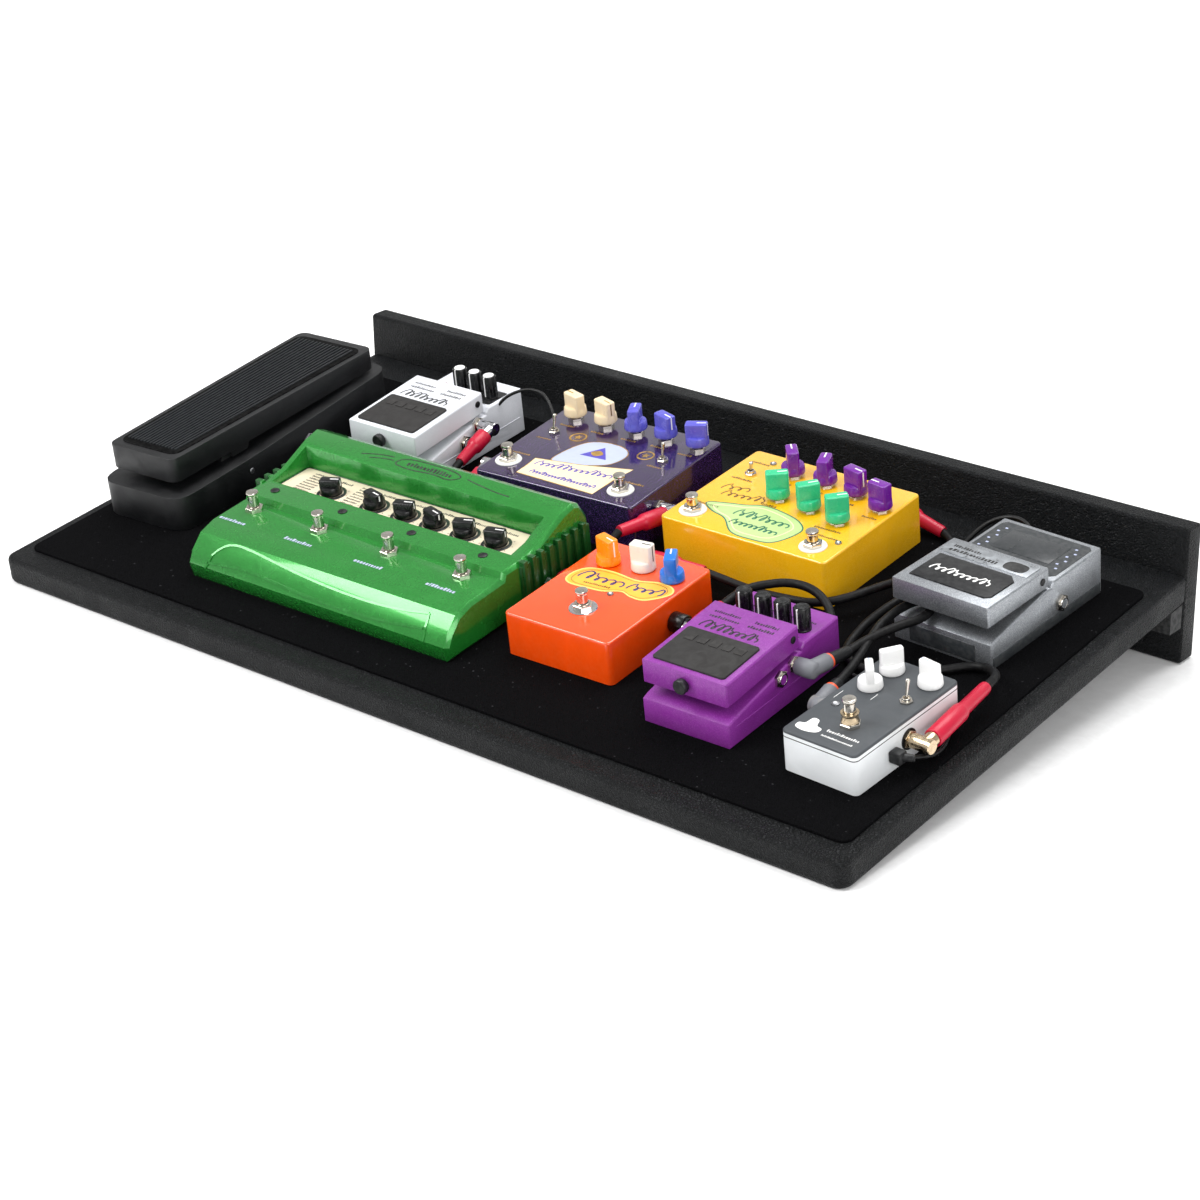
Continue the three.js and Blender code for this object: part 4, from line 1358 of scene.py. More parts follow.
@dataclass
class PointerKnob:
    """A knob with a round skirt and a tall pointer bar, on its pot's shaft.

    Attributes:
        node: The CAD node that it stands for.
        finish: Its colour.
        line: The colour of its pointer line.
        nut: How high the pot's nut stands, in millimetres, or nought for none.
        rise: The height of the bar's top above the case.
        scale: Its size, where 1 has a skirt 18.4 mm across.
        bar: Half the bar's width at its foot.
    """

    node: str
    finish: Finish
    line: Finish
    nut: float
    rise: float
    scale: float = 1.0
    bar: float = 4.5

    def build(self, slot: str) -> None:
        """Make the knob, its pointer line and its nut.

        Args:
            slot: The record's material slot of the knob; not used.
        """
        joint = JOINTS[self.node]
        low, high = joint["range_deg"]
        place = Place.on_joint(joint, (low + high) / 2)
        base = self.nut + 0.5
        radius, skirt = 9.2 * self.scale, base + 7.0 * self.scale
        shape = Shape().turned([
            (0, base), (radius * 0.97, base), (radius, base + 0.4), (radius, base + 1.6),
            (radius * 0.955, skirt - 1.0), (radius * 0.9, skirt - 0.2), (radius * 0.82, skirt),
            (0, skirt),
        ], sides=40)
        half = 8.6 * self.scale
        width = self.bar * self.scale
        outline = round_outline(-width, -half, width, half, 1.8 * self.scale, 5)
        shape.plate(outline, base + 1.0, self.rise, 1.0 * self.scale, 3)
        put(f"{self.node}_body", shape, place, self.finish, self.node, 40, [self.node])
        mark = Shape()
        mark.box((-0.55, half * 0.05, self.rise - 0.2), (0.55, half * 0.9, self.rise + 0.12), 0.05, 1)
        mark.box((-0.55, half * 0.9, skirt), (0.55, half + 0.12, self.rise - 0.9), 0.05, 1)
        put(f"{self.node}_line", mark, place, self.line, self.node)
        if self.nut:
            seat = Shape().hexagon((0, 0, 0), 11.0, self.nut * 0.6)
            seat.turned([(3.3, 0), (4.0, 0), (4.0, self.nut), (3.3, self.nut), (3.3, 0)])
            put(f"{self.node}_nut", seat, Place.on_joint(joint, 12), NICKEL)


@dataclass
class Footswitch:
    """A footswitch: its washer, nut, threaded bushing and plunger.

    Attributes:
        node: The CAD node that it stands for.
        rise: The height of the plunger's top above the case, in millimetres.
        washer: The washer's finish, or None for no washer.
        flats: The nut's width across flats, in millimetres.
    """

    node: str
    rise: float
    washer: Finish | None = NYLON
    flats: float = 12.9

    def build(self) -> None:
        """Make the switch."""
        joint = JOINTS[self.node]
        place = Place.on_joint(joint)
        base = 1.0 if self.washer else 0.0
        if self.washer:
            ring = Shape().turned([(4.7, 0), (10.4, 0), (10.6, 0.3), (10.2, 1.0), (4.7, 1.0), (4.7, 0)])
            put(f"{self.node}_washer", ring, place, self.washer)
        nut = Shape().hexagon((0, 0, base), self.flats, 3.15)
        thread = [(4.6, base)]
        for i in range(5):
            z = base + 0.7 * i
            thread += [(5.9, z), (5.5, z + 0.35)]
        thread += [(5.5, base + 3.7), (4.6, base + 3.9), (4.6, base)]
        nut.turned(thread, sides=36)
        put(f"{self.node}_nut", nut, place, NICKEL)
        top = self.rise
        shape = Shape().turned([
            (0, -8), (4.1, -8), (4.1, top - 3.2), (4.8, top - 2.4), (4.85, top - 0.9),
            (4.5, top - 0.3), (3.4, top - 0.05), (0, top),
        ], sides=40)
        put(f"{self.node}_plunger", shape, place, NICKEL, self.node, 40, [self.node])


@dataclass
class Toggle:
    """A small toggle switch: its nut, bushing and bat lever.

    Attributes:
        node: The CAD node that it stands for.
        length: The lever's length above its pivot, in millimetres.
    """

    node: str
    length: float

    def build(self) -> None:
        """Make the switch."""
        joint = JOINTS[self.node]
        low, high = joint["range_deg"]
        seat = Place.on_joint(joint).inner(0, 0, -2.6)
        base = Shape().hexagon((0, 0, 0), 8.3, 1.8, 15)
        base.turned([(2.3, 0), (3.1, 0), (3.1, 3.2), (2.8, 3.6), (2.3, 3.6), (2.3, 0)])
        put(f"{self.node}_bushing", base, seat, NICKEL)
        lever = Place(
            Matrix.Translation(Vector(joint["pos_m"]))
            @ Matrix.Rotation(radians(DeckSizes().slope - (low + high) / 2), 4, "X")
            @ Matrix.Scale(MM, 4)
        )
        top = self.length
        shape = Shape().turned([
            (0, -2.0), (0.9, -2.0), (0.9, 1.5), (1.45, top - 2.2), (1.6, top - 1.1),
            (1.3, top - 0.3), (0.6, top), (0, top),
        ], sides=24)
        put(f"{self.node}_lever", shape, lever, NICKEL, self.node, 50, [self.node])


@dataclass
class JackSocket:
    """A jack socket on a side wall: washer, hexagonal nut, threaded rim and a dark disc of painted shade
    in its opening.

    Attributes:
        name: What its pieces' names start with.
        at: Its middle on the wall, in the pedal's millimetres.
        side: The wall that it is on.
        finish: The nut's finish.
        washer: The washer's finish, or None.
    """

    name: str
    at: Point
    side: str
    finish: Finish = NICKEL
    washer: Finish | None = None

    def build(self, pedal: Place) -> None:
        """Make the socket on a pedal.

        Args:
            pedal: The pedal's axes.
        """
        place = pedal.facing(*self.at, self.side)
        nut = Shape().hexagon((0, 0, -0.4), 11.4, 2.75, 90)
        nut.turned([(0, 0), (4.75, 0), (4.75, 3.1), (4.4, 3.5), (3.5, 3.5), (3.3, 3.2), (0, 3.2)])
        put(f"{self.name}_nut", nut, place, self.finish)
        # A dark disc across the opening: painted shade inside the jack.
        hole_shade = Shape().turned([(0, 3.1), (3.2, 3.1), (3.2, 3.3), (0, 3.3)])
        put(f"{self.name}_hole", hole_shade, place, HOLE_SHADE_AND_SEAM)
        if self.washer:
            ring = Shape().turned([(4.0, 0), (7.6, 0), (7.6, 0.8), (4.0, 0.8), (4.0, 0)])
            put(f"{self.name}_washer", ring, place, self.washer)


def label(
    name: str, outlines: Sequence[Outline], place: Place, height: float, finish: Finish,
    thick: float = 0.12, body: str = BOARD,
) -> None:
    """Print flat patches on a face.

    Args:
        name: The piece's name.
        outlines: The patches' outlines.
        place: The axes of the face.
        height: The face's height in them, in millimetres.
        finish: The ink.
        thick: How far the ink stands out.
        body: The body that it moves with.
    """
    shape = Shape()
    for outline in outlines:
        shape.plate(outline, height - 0.05, height + thick)
    put(name, shape, place, finish, body)


def line_label(
    name: str, lines: Sequence[Sequence[tuple[float, float]]], place: Place, height: float,
    finish: Finish, width: float = 0.7, closed: bool = False, body: str = BOARD,
    thick: float = 0.14,
) -> None:
    """Print lines on a face.

    Args:
        name: The piece's name.
        lines: The lines' points.
        place: The axes of the face.
        height: The face's height in them, in millimetres.
        finish: The ink.
        width: The lines' width.
        closed: Whether each line ends where it starts.
        body: The body that they move with.
        thick: How far the ink stands out.
    """
    shape = Shape()
    for line in lines:
        shape.ribbon([(x, y, height - 0.03) for x, y in line], width, thick, closed)
    put(name, shape, place, finish, body)


def dashes(
    x: float, y: float, length: float, tall: float, seed: int, slant: float = 0.0
) -> list[Points]:
    """Small upright strokes side by side, as stand-ins for a printed caption.

    Args:
        x: Where the strokes start.
        y: The line that they stand on.
        length: How far they run.
        tall: How tall they are.
        seed: What picks their widths.
        slant: How far the line climbs, per unit along.

    Returns:
        The strokes' outlines.
    """
    pick = random.Random(seed)
    out, at = [], 0.0
    while at < length:
        wide = tall * pick.uniform(0.25, 0.6)
        rise = tall * pick.choice((0.7, 0.7, 1.0))
        y0 = y + at * slant
        out.append([
            (x + at, y0), (x + at + wide, y0), (x + at + wide, y0 + rise), (x + at, y0 + rise)
        ])
        at += wide + tall * 0.3
    return out


def scribble(
    x: float, y: float, length: float, tall: float, seed: int, slant: float = 0.0
) -> Points:
    """A line of joined loops, as a stand-in for a handwritten name.

    Args:
        x: Where it starts.
        y: The line that it stands on.
        length: How far it runs.
        tall: How tall its first loop is.
        seed: What picks the loops' heights.
        slant: How far the line climbs, per unit along.

    Returns:
        Its points.
    """
    pick = random.Random(seed)
    loops = max(3, round(length / (tall * 0.6)))
    heights = [tall] + [tall * pick.choice((0.5, 0.55, 0.6, 0.95)) for _ in range(loops)]
    points = []
    for k in range(loops * 12 + 1):
        turn = k / 12
        lift = heights[min(int(turn + 0.5), loops)] * (0.5 - 0.5 * cos(tau * turn))
        sway = tall * 0.22 * sin(tau * turn)
        along = length * turn / loops
        points.append((x + along - sway + lift * 0.25, y + lift + along * slant))
    return points


# ---- box pedals ----


@dataclass
class BoxPedal:
    """A die-cast box pedal.

    Attributes:
        name: What its nodes' names start with.
        at: Its front left corner on the deck and its turn, as (u, v, degrees).
        size: Its width, depth and height, in millimetres.
        finish: Its paint.
        slot: The record's material slot of the paint; not used.
        jacks: Its jacks, as (side, along, height).
        metal: The jacks' plating.
        washer: The finish of the jacks' washers, or None for no washers.
    """

    name: str
    at: Point
    size: Point
    finish: Finish
    slot: str
    jacks: Sequence[tuple[str, float, float]]
    metal: Finish = NICKEL
    washer: Finish | None = None
    place: Place = field(init=False)

    def __post_init__(self) -> None:
        """Set the pedal's axes up."""
        u, v, yaw = self.at
        self.place = Place.on_deck().inner(u, v, DeckSizes().stand, yaw)

    def socket(self, index: int) -> Socket:
        """One of its jacks, for a plug.

        Args:
            index: The jack's number, from nought.

        Returns:
            The jack.
        """
        side, along, z = self.jacks[index]
        width, depth, _ = self.size
        at = {"right": (width, along, z), "left": (0, along, z), "rear": (along, depth, z)}
        out = {"right": (1, 0, 0), "left": (-1, 0, 0), "rear": (0, 1, 0)}
        return Socket(self.place, at[side], out[side])

    def build(self) -> None:
        """Make the case, its base plate and its jacks; then what the kind of pedal adds."""
        width, depth, height = self.size
        case = Shape().plate(round_outline(0, 0, width, depth, 4.2, 8), 0.3, height, 1.6, 4)
        put(
            f"{self.name}_box", case, self.place, self.finish,
            replaces=[f"{self.name}_case"],
        )
        foot = Shape().plate(round_outline(1, 1, width - 1, depth - 1, 3.6, 8), 0.0, 0.6)
        put(f"{self.name}_base_plate", foot, self.place, STEEL)
        for i, (side, _, _) in enumerate(self.jacks):
            name, at = f"{self.name}_jack_{i + 1}", self.socket(i).at
            JackSocket(name, at, side, self.metal, self.washer).build(self.place)
        self.dress()
        LOG.info("built the %s pedal", self.name)

    def led(self, x: float, y: float, radius: float) -> None:
        """Put a clear lamp lens in its bezel on the top.

        Args:
            x: Its place across the pedal.
            y: Its place up the pedal.
            radius: The lens's radius.
        """
        height = self.size[2]
        rim = Shape().turned([
            (0, 0), (radius + 1.1, 0), (radius + 1.0, 0.9), (radius, 1.1), (0, 1.1)
        ], (x, y, height))
        tag = f"{self.name}_lamp_{x:.0f}"
        put(f"{tag}_rim", rim, self.place, STEEL)
        lens = Shape().ball((x, y, height + 0.9), radius * 0.9, 0.7)
        put(f"{tag}_lens", lens, self.place, CLEAR_LENS)

    def dress(self) -> None:
        """Add the pedal's controls and print."""


class PurplePedal(BoxPedal):
    """The dark purple glitter pedal."""

    def dress(self) -> None:
        """Add the controls and the gold print."""
        height = self.size[2]
        for i in range(2):
            Footswitch(f"purple_footswitch_{i + 1}", 14).build()
            Toggle(f"purple_toggle_{i + 1}", 12.5).build()
        for i in range(5):
            finish = CREAM_KNOB if i < 2 else PERIWINKLE
            line = INK_GOLD if i < 2 else INK_WHITE
            slot = "knob_cream" if i < 2 else "knob_periwinkle"
            PointerKnob(f"purple_knob_{i + 1}", finish, line, 4.4, 22.5).build(slot)
        oval = smooth_outline([
            (45, 40), (47, 60), (54, 75), (66, 81), (80, 81), (91, 76), (95, 66), (90, 52),
            (72, 42), (56, 38),
        ])
        label("purple_oval", [oval], self.place, height, INK_PALE)
        line_label("purple_oval_edge", [oval], self.place, height, INK_GOLD, 1.8, True)
        peak = [(60, 56), (84, 57), (71.5, 74)]
        label("purple_peak", [peak], self.place, height + 0.12, INK_INDIGO, 0.1)
        label("purple_sun", [smooth_outline([
            (66, 63), (71.5, 58.5), (77, 63), (71.5, 67.5)
        ])], self.place, height + 0.24, INK_GOLD, 0.1)
        banner = [(33, 10), (108, 6), (109.5, 32), (113, 53), (72, 42), (32, 36), (33, 24)]
        label("purple_banner", [banner], self.place, height + 0.01, INK_CREAM)
        line_label("purple_banner_edge", [banner], self.place, height + 0.05, INK_GOLD, 0.8, True)
        words = [scribble(38, 27, 66, 8.5, 4, 0.09), scribble(42, 15, 60, 5.0, 5, -0.02)]
        line_label("purple_banner_print", words, self.place, height + 0.14, INK_INDIGO, 1.0)
        for x, y, radius in ((41, 80, 6.5), (107.5, 77, 6.5)):
            ring = [
                (x + radius * cos(t), y + radius * sin(t))
                for t in (tau * k / 28 for k in range(28))
            ]
            line_label(f"purple_ring_{x:.0f}", [ring], self.place, height, INK_GOLD, 1.4, True)
            star = [
                (x + r * cos(t), y + r * sin(t))
                for k in range(10)
                for r, t in [(3.6 if k % 2 else 1.7, tau * k / 10)]
            ]
            label(f"purple_star_{x:.0f}", [star], self.place, height, INK_GOLD)
        captions = [
            dashes(14, 92, 14, 2.6, 21), dashes(44, 92, 12, 2.6, 22), dashes(73, 92, 14, 2.6, 23),
            dashes(101, 92, 13, 2.6, 24), dashes(128, 90, 13, 2.6, 25), dashes(6, 37, 18, 2.6, 26),
            dashes(116, 33, 20, 2.6, 27), dashes(10, 66, 14, 2.4, 28), dashes(118, 63, 13, 2.4, 29),
        ]
        label("purple_captions", sum(captions, []), self.place, height, INK_GOLD)


class YellowPedal(BoxPedal):
    """The yellow pedal with seven knobs."""

    def dress(self) -> None:
        """Add the controls and the teardrop print."""
        height = self.size[2]
        for i in range(2):
            Footswitch(f"yellow_footswitch_{i + 1}", 13.5).build()
        Toggle("yellow_toggle", 7.5).build()
        for i in range(7):
            plum = i < 4
            PointerKnob(
                f"yellow_knob_{i + 1}", PLUM if plum else MINT, INK_WHITE, 2.6, 22.5
            ).build("knob_plum" if plum else "knob_mint")
        drop = smooth_outline([
            (19, 34), (30, 26), (45, 21), (62, 6), (80, 4), (98, 8), (106, 30), (98, 41),
            (83, 47), (61, 50), (46, 44), (32, 40),
        ])
        label("yellow_drop", [drop], self.place, height, INK_MINT)
        line_label("yellow_drop_edge", [drop], self.place, height, INK_TEAL, 2.2, True)
        inner = [(62.5 + (x - 62.5) * 0.84, 28 + (y - 28) * 0.82) for x, y in drop]
        line_label("yellow_drop_inner", [inner], self.place, height + 0.1, INK_CREAM, 0.8, True)
        words = [scribble(47, 29, 46, 10, 31, 0.02), scribble(52, 17, 40, 7.5, 32)]
        line_label("yellow_drop_print", words, self.place, height + 0.1, INK_TEAL, 1.3)
        words = [scribble(14, 58, 20, 10, 33, 0.2), scribble(20, 50, 34, 9, 34, 0.1)]
        line_label("yellow_flourish", words, self.place, height, INK_BROWN, 0.9)
        captions = [
            dashes(43, 86, 14, 2.4, 41), dashes(72, 86, 14, 2.4, 42), dashes(103, 82, 12, 2.4, 43),
            dashes(131, 72, 12, 2.4, 44), dashes(55, 51.5, 14, 2.2, 45), dashes(110, 42, 22, 2.4, 46),
            dashes(8, 31, 22, 2.4, 47), dashes(112, 32, 24, 2.4, 48), dashes(10, 76, 18, 2.4, 49),
            dashes(8, 104, 16, 2.4, 50),
        ]
        label("yellow_captions", sum(captions, []), self.place, height, INK_BROWN)
        self.led(140.0, 30.0, 1.4)
        self.led(25.0, 109.0, 1.4)


class OrangePedal(BoxPedal):
    """The orange pedal with three knobs."""

    def dress(self) -> None:
        """Add the controls and the peanut outline."""
        height = self.size[2]
        Footswitch("orange_footswitch", 15, CHROME).build()
        knobs = ((AMBER, "knob_amber"), (IVORY, "knob_white"), (BLUE, "knob_blue"))
        for i, (finish, slot) in enumerate(knobs):
            line = INK_WHITE if i != 1 else INK_BLACK
            PointerKnob(f"orange_knob_{i + 1}", finish, line, 0.0, 20.5).build(slot)
        peanut = smooth_outline([
            (9, 61), (9, 72), (16, 81), (34, 84), (57, 82), (73, 87), (86, 85), (90, 76),
            (79, 62), (67, 61), (56.5, 64), (44, 58), (30, 56.5), (16, 56),
        ])
        label("orange_peanut", [peanut], self.place, height, INK_SUN)
        line_label("orange_peanut_edge", [peanut], self.place, height + 0.05, INK_PALE_SUN, 1.3, True)
        inner = [(48.5 + (x - 48.5) * 0.91, 70.5 + (y - 70.5) * 0.84) for x, y in peanut]
        line_label("orange_peanut_inner", [inner], self.place, height + 0.1, INK_BROWN, 0.4, True)
        words = [scribble(15, 67, 36, 11.0, 61, 0.04), scribble(57, 69, 26, 10.0, 62, 0.08)]
        line_label("orange_print", words, self.place, height + 0.12, INK_NAVY, 1.4)
        captions = dashes(24, 61.5, 22, 2.2, 63, 0.06)
        label("orange_captions", captions, self.place, height + 0.12, INK_BROWN)
        self.led(52.0, 57.0, 1.3)


class MiniPedal(BoxPedal):
    """The narrow white pedal with a slate top."""

    def dress(self) -> None:
        """Add the slate top, the controls and the small prints."""
        width, depth, height = self.size
        seam = Shape().plate(
            round_outline(-0.12, -0.12, width + 0.12, depth + 0.12, 4.3, 8), height - 5.1,
            height - 4.5,
        )
        put("mini_seam", seam, self.place, HOLE_SHADE_AND_SEAM)
        lid = Shape().plate(
            round_outline(-0.1, -0.1, width + 0.1, depth + 0.1, 4.3, 8), height - 1.9,
            height + 0.2, 1.4, 4,
        )
        put("mini_lid", lid, self.place, SLATE_TOP)
        Footswitch("mini_footswitch", 21, None).build()
        self._waist()
        Toggle("mini_toggle", 14).build()
        for i in range(3):
            PointerKnob(
                f"mini_knob_{i + 1}", WHITE_KNOB, INK_PALE, 0.0, 18, 0.95, 3.0
            ).build("knob_white")
        cloud = smooth_outline([
            (6, 8), (14, 6.5), (22, 9), (23, 14), (18, 16), (15, 22), (10, 22), (9, 15), (5, 13)
        ])
        label("mini_cloud", [cloud], self.place, height + 0.2, INK_WHITE)
        strokes = dashes(27, 14, 25, 2.6, 71) + dashes(27, 8, 25, 1.8, 72)
        label("mini_print", strokes, self.place, height + 0.2, INK_WHITE)
        line_label(
            "mini_lines", [[(5, 50), (5, 60)], [(27, 61), (27, 69)]], self.place, height + 0.2,
            INK_WHITE, 0.4,
        )
        self.led(11.0, 44.0, 1.8)

    def _waist(self) -> None:
        """Add the wide collar halfway up the tall switch."""
        place = Place.on_joint(JOINTS["mini_footswitch"])
        cup = Shape().turned([
            (4.4, 3.9), (6.4, 3.9), (5.6, 6.2), (5.4, 8.2), (6.2, 9.6), (6.2, 10.6), (4.4, 10.6),
            (4.4, 3.9),
        ], sides=40)
        put("mini_footswitch_collar", cup, place, BRASSY)


# ---- compact pedals ----


@dataclass
class CompactPedal:
    """A compact pedal: a sloping base under a treadle that tips down over its front.

    Attributes:
        name: What its nodes' names start with.
        at: Its front left corner on the deck and its turn, as (u, v, degrees).
        finish: Its paint.
        slot: The record's material slot of the paint; not used.
        jacks: Its jacks, as (side, along, height).
        width: Its width, in millimetres.
        rear: The height of its rear top.
        front_edge: The treadle's front edge, as (y, height of its top).
        back_edge: Its back edge, likewise.
        hinge: The hinge's place, as (y, height).
    """

    name: str
    at: Point
    finish: Finish
    slot: str
    jacks: Sequence[tuple[str, float, float]]
    width: float = 73.0
    rear: float = 37.5
    front_edge: tuple[float, float] = (1.5, 48.2)
    back_edge: tuple[float, float] = (84.0, 52.6)
    hinge: tuple[float, float] = (77.0, 45.0)
    place: Place = field(init=False)

    def __post_init__(self) -> None:
        """Set the pedal's axes up."""
        u, v, yaw = self.at
        self.place = Place.on_deck().inner(u, v, DeckSizes().stand, yaw)

    @property
    def treadle(self) -> str:
        """The treadle's body."""
        return f"{self.name}_treadle"

    def socket(self, index: int) -> Socket:
        """One of its jacks, for a plug.

        Args:
            index: The jack's number, from nought.

        Returns:
            The jack.
        """
        side, along, z = self.jacks[index]
        x, out = (self.width, 1) if side == "right" else (0, -1)
        return Socket(self.place, (x, along, z), (out, 0, 0))

    def _cover(self) -> Place:
        """The treadle's top, with Y running back along it."""
        (y0, z0), (y1, z1) = self.front_edge, self.back_edge
        pitch = degrees(atan2(z1 - z0, y1 - y0))
        return self.place.inner(0, y0, z0, 0, pitch)

    def build(self) -> None:
        """Make the base, the treadle and what they have alike; then what the pedal adds."""
        refined(f"{self.name}_case", self.finish, BOARD, 0.4)
        refined(self.treadle, self.finish, self.treadle, 0.5)
        for i, (side, _, _) in enumerate(self.jacks):
            JackSocket(f"{self.name}_jack_{i + 1}", self.socket(i).at, side).build(self.place)
        y, z = self.hinge
        for side, x in (("left", 1.0), ("right", self.width - 1.0)):
            dot = Shape().turned([(0, -0.2), (2.7, -0.2), (2.7, 0.5), (2.2, 0.8), (0, 0.8)])
            put(
                f"{self.name}_hinge_{side}", dot, self.place.facing(x, y, z, side),
                BLACK_SATIN, self.treadle,
            )
        self.dress()
        LOG.info("built the %s pedal", self.name)

    def dress(self) -> None:
        """Add the pedal's own pad, knobs and print."""


class StompPedal(CompactPedal):
    """A compact pedal with a rubber pad, a thumb screw and a row of small knobs."""

    knobs: Sequence[Point] = ()
    cap: Finish = WHITE_KNOB
    tall: float = 19.8

    def dress(self) -> None:
        """Add the pad, the thumb screw, the knobs and the print."""
        cover = self._cover()
        pad = Shape().plate(round_outline(6.5, 4.5, 66.5, 47, 2.5, 6), -0.1, 1.6, 0.6, 3)
        put(f"{self.name}_pad", pad, cover, PAD_RUBBER, self.treadle)
        raised = [[(13 + i * 10.4, 32), (20 + i * 10.4, 32), (20 + i * 10.4, 39), (13 + i * 10.4, 39)]
                  for i in range(5)]
        label(f"{self.name}_pad_blocks", raised, cover, 1.55, PAD_RUBBER, 0.5, self.treadle)
        screw = Shape().turned([
            (0, -1), (2.4, -1), (2.4, 1.2), (5.1, 1.4), (5.4, 2.0), (5.4, 5.4), (4.8, 6.2), (0, 6.2)
        ])
        put(
            f"{self.name}_thumb_screw", screw, self.place.facing(36.5, 1.5, 39.0, "front"),
            BLACK_SATIN, self.treadle,
        )
        captions = dashes(10, 65, 24, 2.8, 82) + dashes(42, 65, 20, 2.8, 84)
        captions += dashes(10, 71, 22, 2.8, 83) + dashes(44, 71, 19, 2.8, 85)
        label(f"{self.name}_print", captions, cover, 0.0, INK_BLACK, 0.12, self.treadle)
        word = [scribble(11, 52, 46, 9.0, 81)]
        line_label(f"{self.name}_word", word, cover, 0.0, INK_BLACK, 1.2, False, self.treadle)
        marks = []
        for i, (x, y) in enumerate(self.knobs):
            self._knob(f"{self.name}_small_knob_{i + 1}", x, y)
            marks += dashes(x - 4.5, y - 12.5, 8.5, 2.2, 90 + i)
            marks += dashes(x - 4.5, y + 9.0, 8.5, 2.0, 95 + i)
        label(f"{self.name}_marks", marks, self.place, self.rear, INK_BLACK)
        for side, x in (("left", 0.0), ("right", self.width)):
            wall = self.place.facing(x, 0, 0, side)
            sign = 1 if side == "right" else -1
            ridge = Shape()
            low = min(sign * 8, sign * 124)
            ridge.box((low, 13.4, -0.2), (low + 116, 14.2, 0.35), 0.15, 2)
            put(f"{self.name}_ridge_{side}", ridge, wall, self.finish)

    def _knob(self, name: str, x: float, y: float) -> None:
        """Make one small fluted knob.

        Args:
            name: The piece's name.
            x: Its place across the pedal.
            y: Its place up the pedal.
        """
        z, top = self.rear, self.rear + self.tall
        body = Shape().turned([
            (0, z), (6.2, z), (6.2, z + 1.2), (5.9, z + 1.6), (5.8, top - 1.0), (5.3, top - 0.2),
            (0, top),
        ], (x, y, 0), 36)
        for i in range(14):
            turn = tau * i / 14
            px, py = x + 5.8 * cos(turn), y + 5.8 * sin(turn)
            body.rod((px, py, z + 1.6), (px, py, top - 1.0), 0.42, 0.36, 8)
        put(name, body, self.place, BLACK_GLOSS)
        dome = [(0, top - 0.1), (4.4, top - 0.1), (4.2, top + 0.35), (0, top + 0.4)]
        tip = Shape().turned(dome, (x, y, 0))
        put(f"{name}_cap", tip, self.place, self.cap)
        mark = Shape().box((x - 0.45, y - 6.25, z + 3), (x + 0.45, y - 5.0, top + 0.1), 0.1, 1)
        put(f"{name}_line", mark, self.place, INK_WHITE)


class WhitePedal(StompPedal):
    """The white compact pedal."""

    knobs = ((31, 104), (46.5, 104), (62, 104))

    def dress(self) -> None:
        """Add the dark control plate to what it has."""
        plate = Shape().plate(round_outline(22, 92.5, 70, 116, 2, 5), self.rear - 0.1, self.rear + 0.2)
        put("white_control_plate", plate, self.place, BLACK_SATIN)
        super().dress()
        lamp = Shape().ball((13, 104, self.rear + 0.6), 2.2, 0.7)
        put("white_lamp", lamp, self.place, RED_LENS)


class VioletPedal(StompPedal):
    """The violet compact pedal."""

    knobs = ((12.5, 103), (28.8, 103), (45.1, 103), (61.4, 103))
    cap = BLACK_GLOSS
    tall = 17.8


